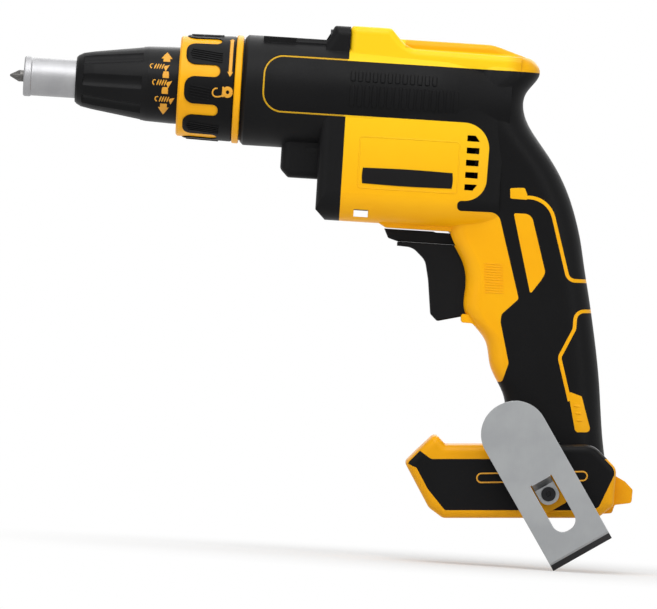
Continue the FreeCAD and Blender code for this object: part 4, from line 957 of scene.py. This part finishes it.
@dataclass
class Shell:
    """Trim of the yellow housing, its grips and its foot, in millimetres.

    Half widths and radii of the surfaces under the trim are given at stations along them.
    """

    palette: Palette
    box_x: Row = (174.0, 178.0, 184.0, 190.0, 196.0, 202.0, 208.0, 214.0, 220.0, 224.0, 229.0)
    box_y: Row = (25.07, 24.98, 24.94, 25.05, 25.19, 25.34, 25.43, 25.36, 25.1, 24.78, 24.14)
    frame_x: Span = (176.8, 226.4)
    frame_z: Span = (-45.4, -19.8)
    frame_corner: float = 1.6
    corner_steps: int = 7
    frame_wide: float = 0.8
    frame_high: float = 0.2
    frame_steps: int = 181
    plate_x: Span = (178.6, 224.0)
    plate_z: Span = (-43.5, -35.0)
    plate_corner: float = 1.2
    plate_share: Row = (1.0, 1.0, 0.99, 0.85, 0.6, 0.35, 0.1, 0.0)
    plate_high: Row = (-0.5, 0.15, 0.3, 0.3, 0.3, 0.3, 0.3, 0.3)
    plate_steps: int = 64
    barrel_x: Row = (162.0, 171.0, 180.0, 198.0, 216.0, 225.0, 234.0)
    barrel_r: Row = (27.48, 27.41, 27.13, 26.6, 26.09, 25.05, 23.42)
    panel_rows: tuple[tuple[float, float, int], ...] = ((7.4, 12.6, 12), (-5.2, 5.2, 15))
    panel_first: float = 171.3
    panel_pitch: float = 3.7
    panel_widths: Row = (2.1, 2.6, 2.6, 2.6, 2.6, 2.6, 2.1)
    panel_high: float = 0.5
    flank_z: Span = (-104.0, -78.0)
    flank_half: Span = (15.8, 16.2)
    flank_ribs: RibStack = RibStack(
        12, (242.2, -79.2), (0.12, -1.3), 9.4, (0.2, 0.55, 0.6, 0.55, 0.2), 0.22
    )
    tab_top: float = -144.0
    tab_half: float = 16.03
    tab_flare: float = 0.039
    tab_lean: float = 0.083
    tab_u: Row = (290.0, 292.0, 294.0, 296.0, 298.0)
    tab_drop: Row = (0.0, 0.05, 0.35, 0.97, 1.95)
    tab_ribs: RibStack = RibStack(
        3, (291.4, -147.2), (0.9, -3.6), 3.0, (0.6, 1.3, 1.4, 1.3, 0.6), 0.25
    )
    foot_y: float = 32.0
    oval_x: Span = (-22.0, 32.8)
    oval_tall: float = 4.5
    oval_wide: float = 0.75
    oval_high: float = 0.15
    oval_up: float = 20.3
    oval_rise: float = 0.018
    oval_steps: int = 13
    lip_x: Span = (198.7, 236.0)
    lip_z: Span = (-71.5, -70.86)
    lip_half: float = 1.5
    lip_bevel: float = 0.1
    lip_steps: int = 12
    felt_x: Span = (115.95, 116.8)
    felt_r: Span = (14.0, 25.4)
    felt_steps: int = 96

    def build(self) -> None:
        """Lay plates, lines and ribs on both sides, then the trigger's lip and the felt ring."""
        for side in Side:
            name = side.name.lower()
            grip = flank(self.grip_half, side)
            tab = flank(self.tab_width, side)
            made = (
                (self.plate(f"{name}_plate", side), PLATE, "black_plastic"),
                (self.box_frame(f"{name}_box_frame", side), YELLOW, "yellow_shell"),
                (self.panel(f"{name}_panel_ribs", side), SOFT_GRIP, "soft_grip"),
                (self.flank_ribs.lay(f"{name}_trigger_ribs", grip), YELLOW, "yellow_shell"),
                (self.tab_ribs.lay(f"{name}_tab_ribs", tab), YELLOW, "yellow_shell"),
                (self.oval(f"{name}_foot_oval", side), INK, "gold_plastic"),
            )
            for piece, finish, slot in made:
                self.palette.keep(piece, finish, "housing", slot)
        self.palette.keep(self.trigger_lip("trigger_lip"), SOFT_GRIP, "trigger", "soft_grip")
        self.palette.keep(self.felt_ring("felt_ring"), SOFT_GRIP, "housing", "soft_grip")

    def box_half(self, x: np.ndarray, z: np.ndarray) -> np.ndarray:
        """Half width of the motor box, whose bulge runs along X alone."""
        return np.interp(x, self.box_x, self.box_y)

    def grip_half(self, x: np.ndarray, z: np.ndarray) -> np.ndarray:
        """Half width of the yellow flank beside the trigger, straight between two heights."""
        return np.interp(z, self.flank_z, self.flank_half)

    def tab_width(self, x: np.ndarray, z: np.ndarray) -> np.ndarray:
        """Half width of the rear tab: it flares downwards and drops where it turns to the rear.

        With d = top - z, it is half + flare d, less the drop read off at u = x - lean d.

        Args:
            x: places along X.
            z: heights.

        Returns:
            The half widths.
        """
        down = self.tab_top - z
        drop = np.interp(x - self.tab_lean * down, self.tab_u, self.tab_drop)
        return self.tab_half + self.tab_flare * down - drop

    def foot_half(self, x: np.ndarray, z: np.ndarray) -> float:
        """Half width of the foot over its flat pads."""
        return self.foot_y

    def plate(self, name: str, side: Side) -> bpy.types.Object:
        """Make one bare plate.

        The outline is a box with rounded corners; rings go from its back to its front edge,
        shrink by a small bevel and close in the middle, and each point lies its ring's height
        over the motor box.

        Args:
            name: name of the piece.
            side: the side it is on.

        Returns:
            The plate.
        """
        middle = np.mean([self.plate_x, self.plate_z], axis=1)
        half = np.ptp([self.plate_x, self.plate_z], axis=1) / 2.0
        angle = np.linspace(0.0, FULL_TURN, self.plate_steps, endpoint=False)
        shape = np.stack([np.cos(angle), np.sin(angle)], axis=1)
        square = shape / np.max(np.abs(shape), axis=1, keepdims=True)
        outline = square * (half - self.plate_corner) + shape * self.plate_corner
        rings = middle + outline[None] * np.array(self.plate_share)[:, None, None]
        lift = np.array(self.plate_high)[:, None]
        return tube(name, flank(self.box_half, side)(rings[..., 0], rings[..., 1], lift))

    def box_frame(self, name: str, side: Side) -> bpy.types.Object:
        """Lay the thin raised line round the plate's field on the motor box.

        The line runs round a box whose corners are arcs of radius c, at even steps of its
        length, and follows the motor box's bulge.

        Args:
            name: name of the piece.
            side: the side it is on.

        Returns:
            The line as one piece.
        """
        corner = self.frame_corner
        west, east = self.frame_x[0] + corner, self.frame_x[1] - corner
        low, high = self.frame_z[0] + corner, self.frame_z[1] - corner
        middles = ((east, high), (west, high), (west, low), (east, low))
        quarters = ((0.0, 90.0), (90.0, 180.0), (180.0, 270.0), (270.0, 360.0))
        arcs = [
            arc(middle, (corner, corner), quarter, self.corner_steps)
            for middle, quarter in zip(middles, quarters)
        ]
        corners = np.vstack([*arcs, arcs[0][:1]])
        length = np.append(0.0, np.cumsum(np.linalg.norm(np.diff(corners, axis=0), axis=1)))
        steps = np.linspace(0.0, length[-1], self.frame_steps)
        path = np.stack([np.interp(steps, length, corners[:, axis]) for axis in (0, 1)], axis=1)
        line = Print(name, flank(self.box_half, side), self.frame_high)
        line.stroke(path, self.frame_wide)
        return line.done()

    def panel(self, name: str, side: Side) -> bpy.types.Object:
        """Lay two rows of short upright ribs on the soft side panel.

        The ribs follow the barrel: rib k stands at X = x0 + p k between two arc lengths.

        Args:
            name: name of the piece.
            side: the side it is on.

        Returns:
            The ribs as one piece.
        """
        mirror = np.array([1.0, -side.value, 1.0])

        def carrier(s: np.ndarray, t: np.ndarray, lift: np.ndarray) -> np.ndarray:
            """Point of the barrel at X = s, arc length t from its side, raised by lift."""
            return wrapped(self.barrel_x, self.barrel_r, s, t, lift) * mirror

        ribs = Print(name, carrier, self.panel_high)
        for low, high, count in self.panel_rows:
            for x in self.panel_first + self.panel_pitch * np.arange(count):
                ribs.straight((x, low), (x, high), self.panel_widths)
        return ribs.done()

    def oval(self, name: str, side: Side) -> bpy.types.Object:
        """Lay the long oval line on the foot's soft pad.

        In the foot's own frame the line runs round a slot of length x1 - x0 and height h,
        that is straight edges at plus and minus h / 2 closed by half circles of radius h / 2;
        it rises a little to the rear. With q the foot's turn, the foot's place (a, b) is
        (a cos q - b sin q, a sin q + b cos q) from its origin.

        Args:
            name: name of the piece.
            side: the side it is on.

        Returns:
            The oval as one piece.
        """
        radius = self.oval_tall / 2.0
        radii = (radius, radius)
        west = arc((self.oval_x[0] + radius, 0.0), radii, (90.0, 270.0), self.oval_steps)
        east = arc((self.oval_x[1] - radius, 0.0), radii, (270.0, 450.0), self.oval_steps)
        path = np.vstack([west, east, west[:1]])
        path[:, 1] += self.oval_up + self.oval_rise * path[:, 0]
        cos, sin = math.cos(math.radians(FOOT_TURN)), math.sin(math.radians(FOOT_TURN))
        line = Print(name, flank(self.foot_half, side), self.oval_high)
        line.stroke(FOOT_ORIGIN + path @ np.array([(cos, sin), (-sin, cos)]), self.oval_wide)
        return line.done()

    def trigger_lip(self, name: str) -> bpy.types.Object:
        """Make the thin dust lip on the trigger's top, just under the direction lever.

        Its cross-section is a box of half width h with rounded upper corners, swept along X:
        the points are (x, h c, z) with c running -1, -1, -0.8, 0.8, 1, 1.

        Args:
            name: name of the piece.

        Returns:
            The lip.
        """
        low, high = self.lip_z
        edge = high - self.lip_bevel
        across = self.lip_half * np.array([-1.0, -1.0, -0.8, 0.8, 1.0, 1.0])
        tall = np.array([low, edge, high, high, edge, low])
        along = np.linspace(self.lip_x[0], self.lip_x[1], self.lip_steps)[:, None]
        return tube(name, np.stack(np.broadcast_arrays(along, across, tall), axis=-1))

    def felt_ring(self, name: str) -> bpy.types.Object:
        """Make the felt ring on the gear case's face, just behind the locking collar.

        Its cross-section is the box x0 to x1 by r0 to r1, turned about the X axis: corner
        (x, r) at angle a is the point (x, r cos a, r sin a).

        Args:
            name: name of the piece.

        Returns:
            The ring.
        """
        (front, back), (inner, outer) = self.felt_x, self.felt_r
        along = np.array([back, front, front, back])
        radius = np.array([inner, inner, outer, outer])
        turn = np.linspace(0.0, FULL_TURN, self.felt_steps, endpoint=False)[:, None]
        across, up = radius * np.cos(turn), radius * np.sin(turn)
        return tube(name, np.stack(np.broadcast_arrays(along, across, up), axis=-1), ring=True)


@dataclass(frozen=True)
class Lamp:
    """One square soft lamp: place and size in metres, power in watts."""

    name: str
    place: Spot
    size: float
    power: float


LAMPS = (
    Lamp("key", (0.05, -0.8, 0.95), 0.9, 10.2),
    Lamp("top", (0.2, 0.05, 1.15), 1.0, 4.4),
    Lamp("fill", (-0.7, -1.2, 0.05), 0.9, 2.3),
    Lamp("side", (0.95, -0.75, 0.25), 0.4, 2.0),
    Lamp("back", (0.35, 0.9, 0.5), 0.8, 4.0),
)


@dataclass
class Studio:
    """Floor, lamps, world and camera of the photograph."""

    middle: Spot = (0.1661, 0.0, -0.1045)
    tilt_deg: float = 3.6
    width_m: float = 0.3285
    distance_m: float = 6.0
    sensor_mm: float = 36.0
    ambient: float = 0.28
    floor_m: float = 4.0
    floor_rings: int = 24
    floor_spokes: int = 48
    floor_grey: Colour = (0.8, 0.8, 0.8, 1.0)
    shadow_x: float = 0.27
    shadow_m: Span = (0.05, 0.34)
    shadow_lift: float = 0.35

    def build(self, lowest: float) -> None:
        """Set up everything round the object.

        Args:
            lowest: height of the object's lowest point in metres.
        """
        bpy.context.scene.view_settings.view_transform = "Standard"
        self.camera()
        self.world()
        self.floor(lowest)
        for lamp in LAMPS:
            self.hang(lamp)

    def camera(self) -> None:
        """Put the camera square to the left side, rolled as the photograph is."""
        data = bpy.data.cameras.new("camera")
        data.sensor_width = self.sensor_mm
        data.lens = self.sensor_mm * self.distance_m / self.width_m
        item = bpy.data.objects.new("camera", data)
        bpy.context.scene.collection.objects.link(item)
        item.location = Vector(self.middle) - Vector((0.0, self.distance_m, 0.0))
        item.rotation_euler = (math.pi / 2, math.radians(-self.tilt_deg), 0.0)
        bpy.context.scene.camera = item

    def world(self) -> None:
        """Light the scene softly, and show white to the camera and to reflections."""
        world = bpy.data.worlds.new("studio")
        bpy.context.scene.world = world
        world.use_nodes = True
        shade = Shade(world.node_tree)
        soft = shade.add("ShaderNodeBackground", {}, {"Color": WHITE, "Strength": self.ambient})
        white = shade.add("ShaderNodeBackground", {}, {"Color": WHITE, "Strength": 1.0})
        mix = shade.add("ShaderNodeMixShader", {}, {0: shade.seen(), 1: soft, 2: white})
        shade.close(mix, "ShaderNodeOutputWorld")

    def floor(self, lowest: float) -> None:
        """Lay a pale round floor that fades into the white background.

        Rings of radius r = R u squared carry a flat disc; its material is diffuse near
        the object, where the shadow falls, and plain white for the camera further out.

        Args:
            lowest: height of the floor in metres.
        """
        share = np.linspace(1.0, 0.0, self.floor_rings)[:, None] ** 2
        angle = np.linspace(0.0, FULL_TURN, self.floor_spokes, endpoint=False)
        across = self.middle[0] + self.floor_m * share * np.cos(angle)
        deep = self.floor_m * share * np.sin(angle)
        points = np.stack([across, deep, np.full_like(across, lowest)], axis=-1)
        faces = grid_faces(self.floor_rings, self.floor_spokes, caps=False)
        item = mesh_object("floor", points, faces)
        material = node_material("floor")
        shade = Shade(material.node_tree)
        spot = {0: shade.place(), 1: (self.shadow_x, 0.0, lowest)}
        away = shade.add("ShaderNodeVectorMath", {"operation": "DISTANCE"}, spot, out="Value")
        matt = shade.add("ShaderNodeBsdfDiffuse", {}, {"Color": self.floor_grey})
        white = shade.add("ShaderNodeEmission", {}, {"Color": WHITE})
        clear = self.shadow_lift + away.between(*self.shadow_m) * (1.0 - self.shadow_lift)
        mix = {0: shade.seen() * clear, 1: matt, 2: white}
        shade.close(shade.add("ShaderNodeMixShader", {}, mix))
        item.data.materials.append(material)
        item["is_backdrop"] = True

    def hang(self, lamp: Lamp) -> None:
        """Hang one lamp and point it at the object's middle.

        Args:
            lamp: the lamp.
        """
        data = bpy.data.lights.new(lamp.name, "AREA")
        data.size = lamp.size
        data.energy = lamp.power
        item = bpy.data.objects.new(lamp.name, data)
        bpy.context.scene.collection.objects.link(item)
        item.location = lamp.place
        ahead = Vector(self.middle) - Vector(lamp.place)
        item.rotation_euler = ahead.to_track_quat("-Z", "Y").to_euler()


def main() -> None:
    """Load the frame, dress it, add the new pieces and set up the studio."""
    logging.basicConfig(level=logging.INFO, format="%(message)s")
    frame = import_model()
    cad_low, cad_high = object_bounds()
    palette = Palette()
    for name, item in frame["nodes"].items():
        palette.dress(item, NODE_FINISH[name])
        LOG.info("dressed %s", name)
    Nose(palette).build()
    Shell(palette).build()
    Studio().build(float(cad_low.z))
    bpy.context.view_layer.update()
    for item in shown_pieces():
        LOG.info("piece %s", item.name)


if __name__ == "__main__":
    main()
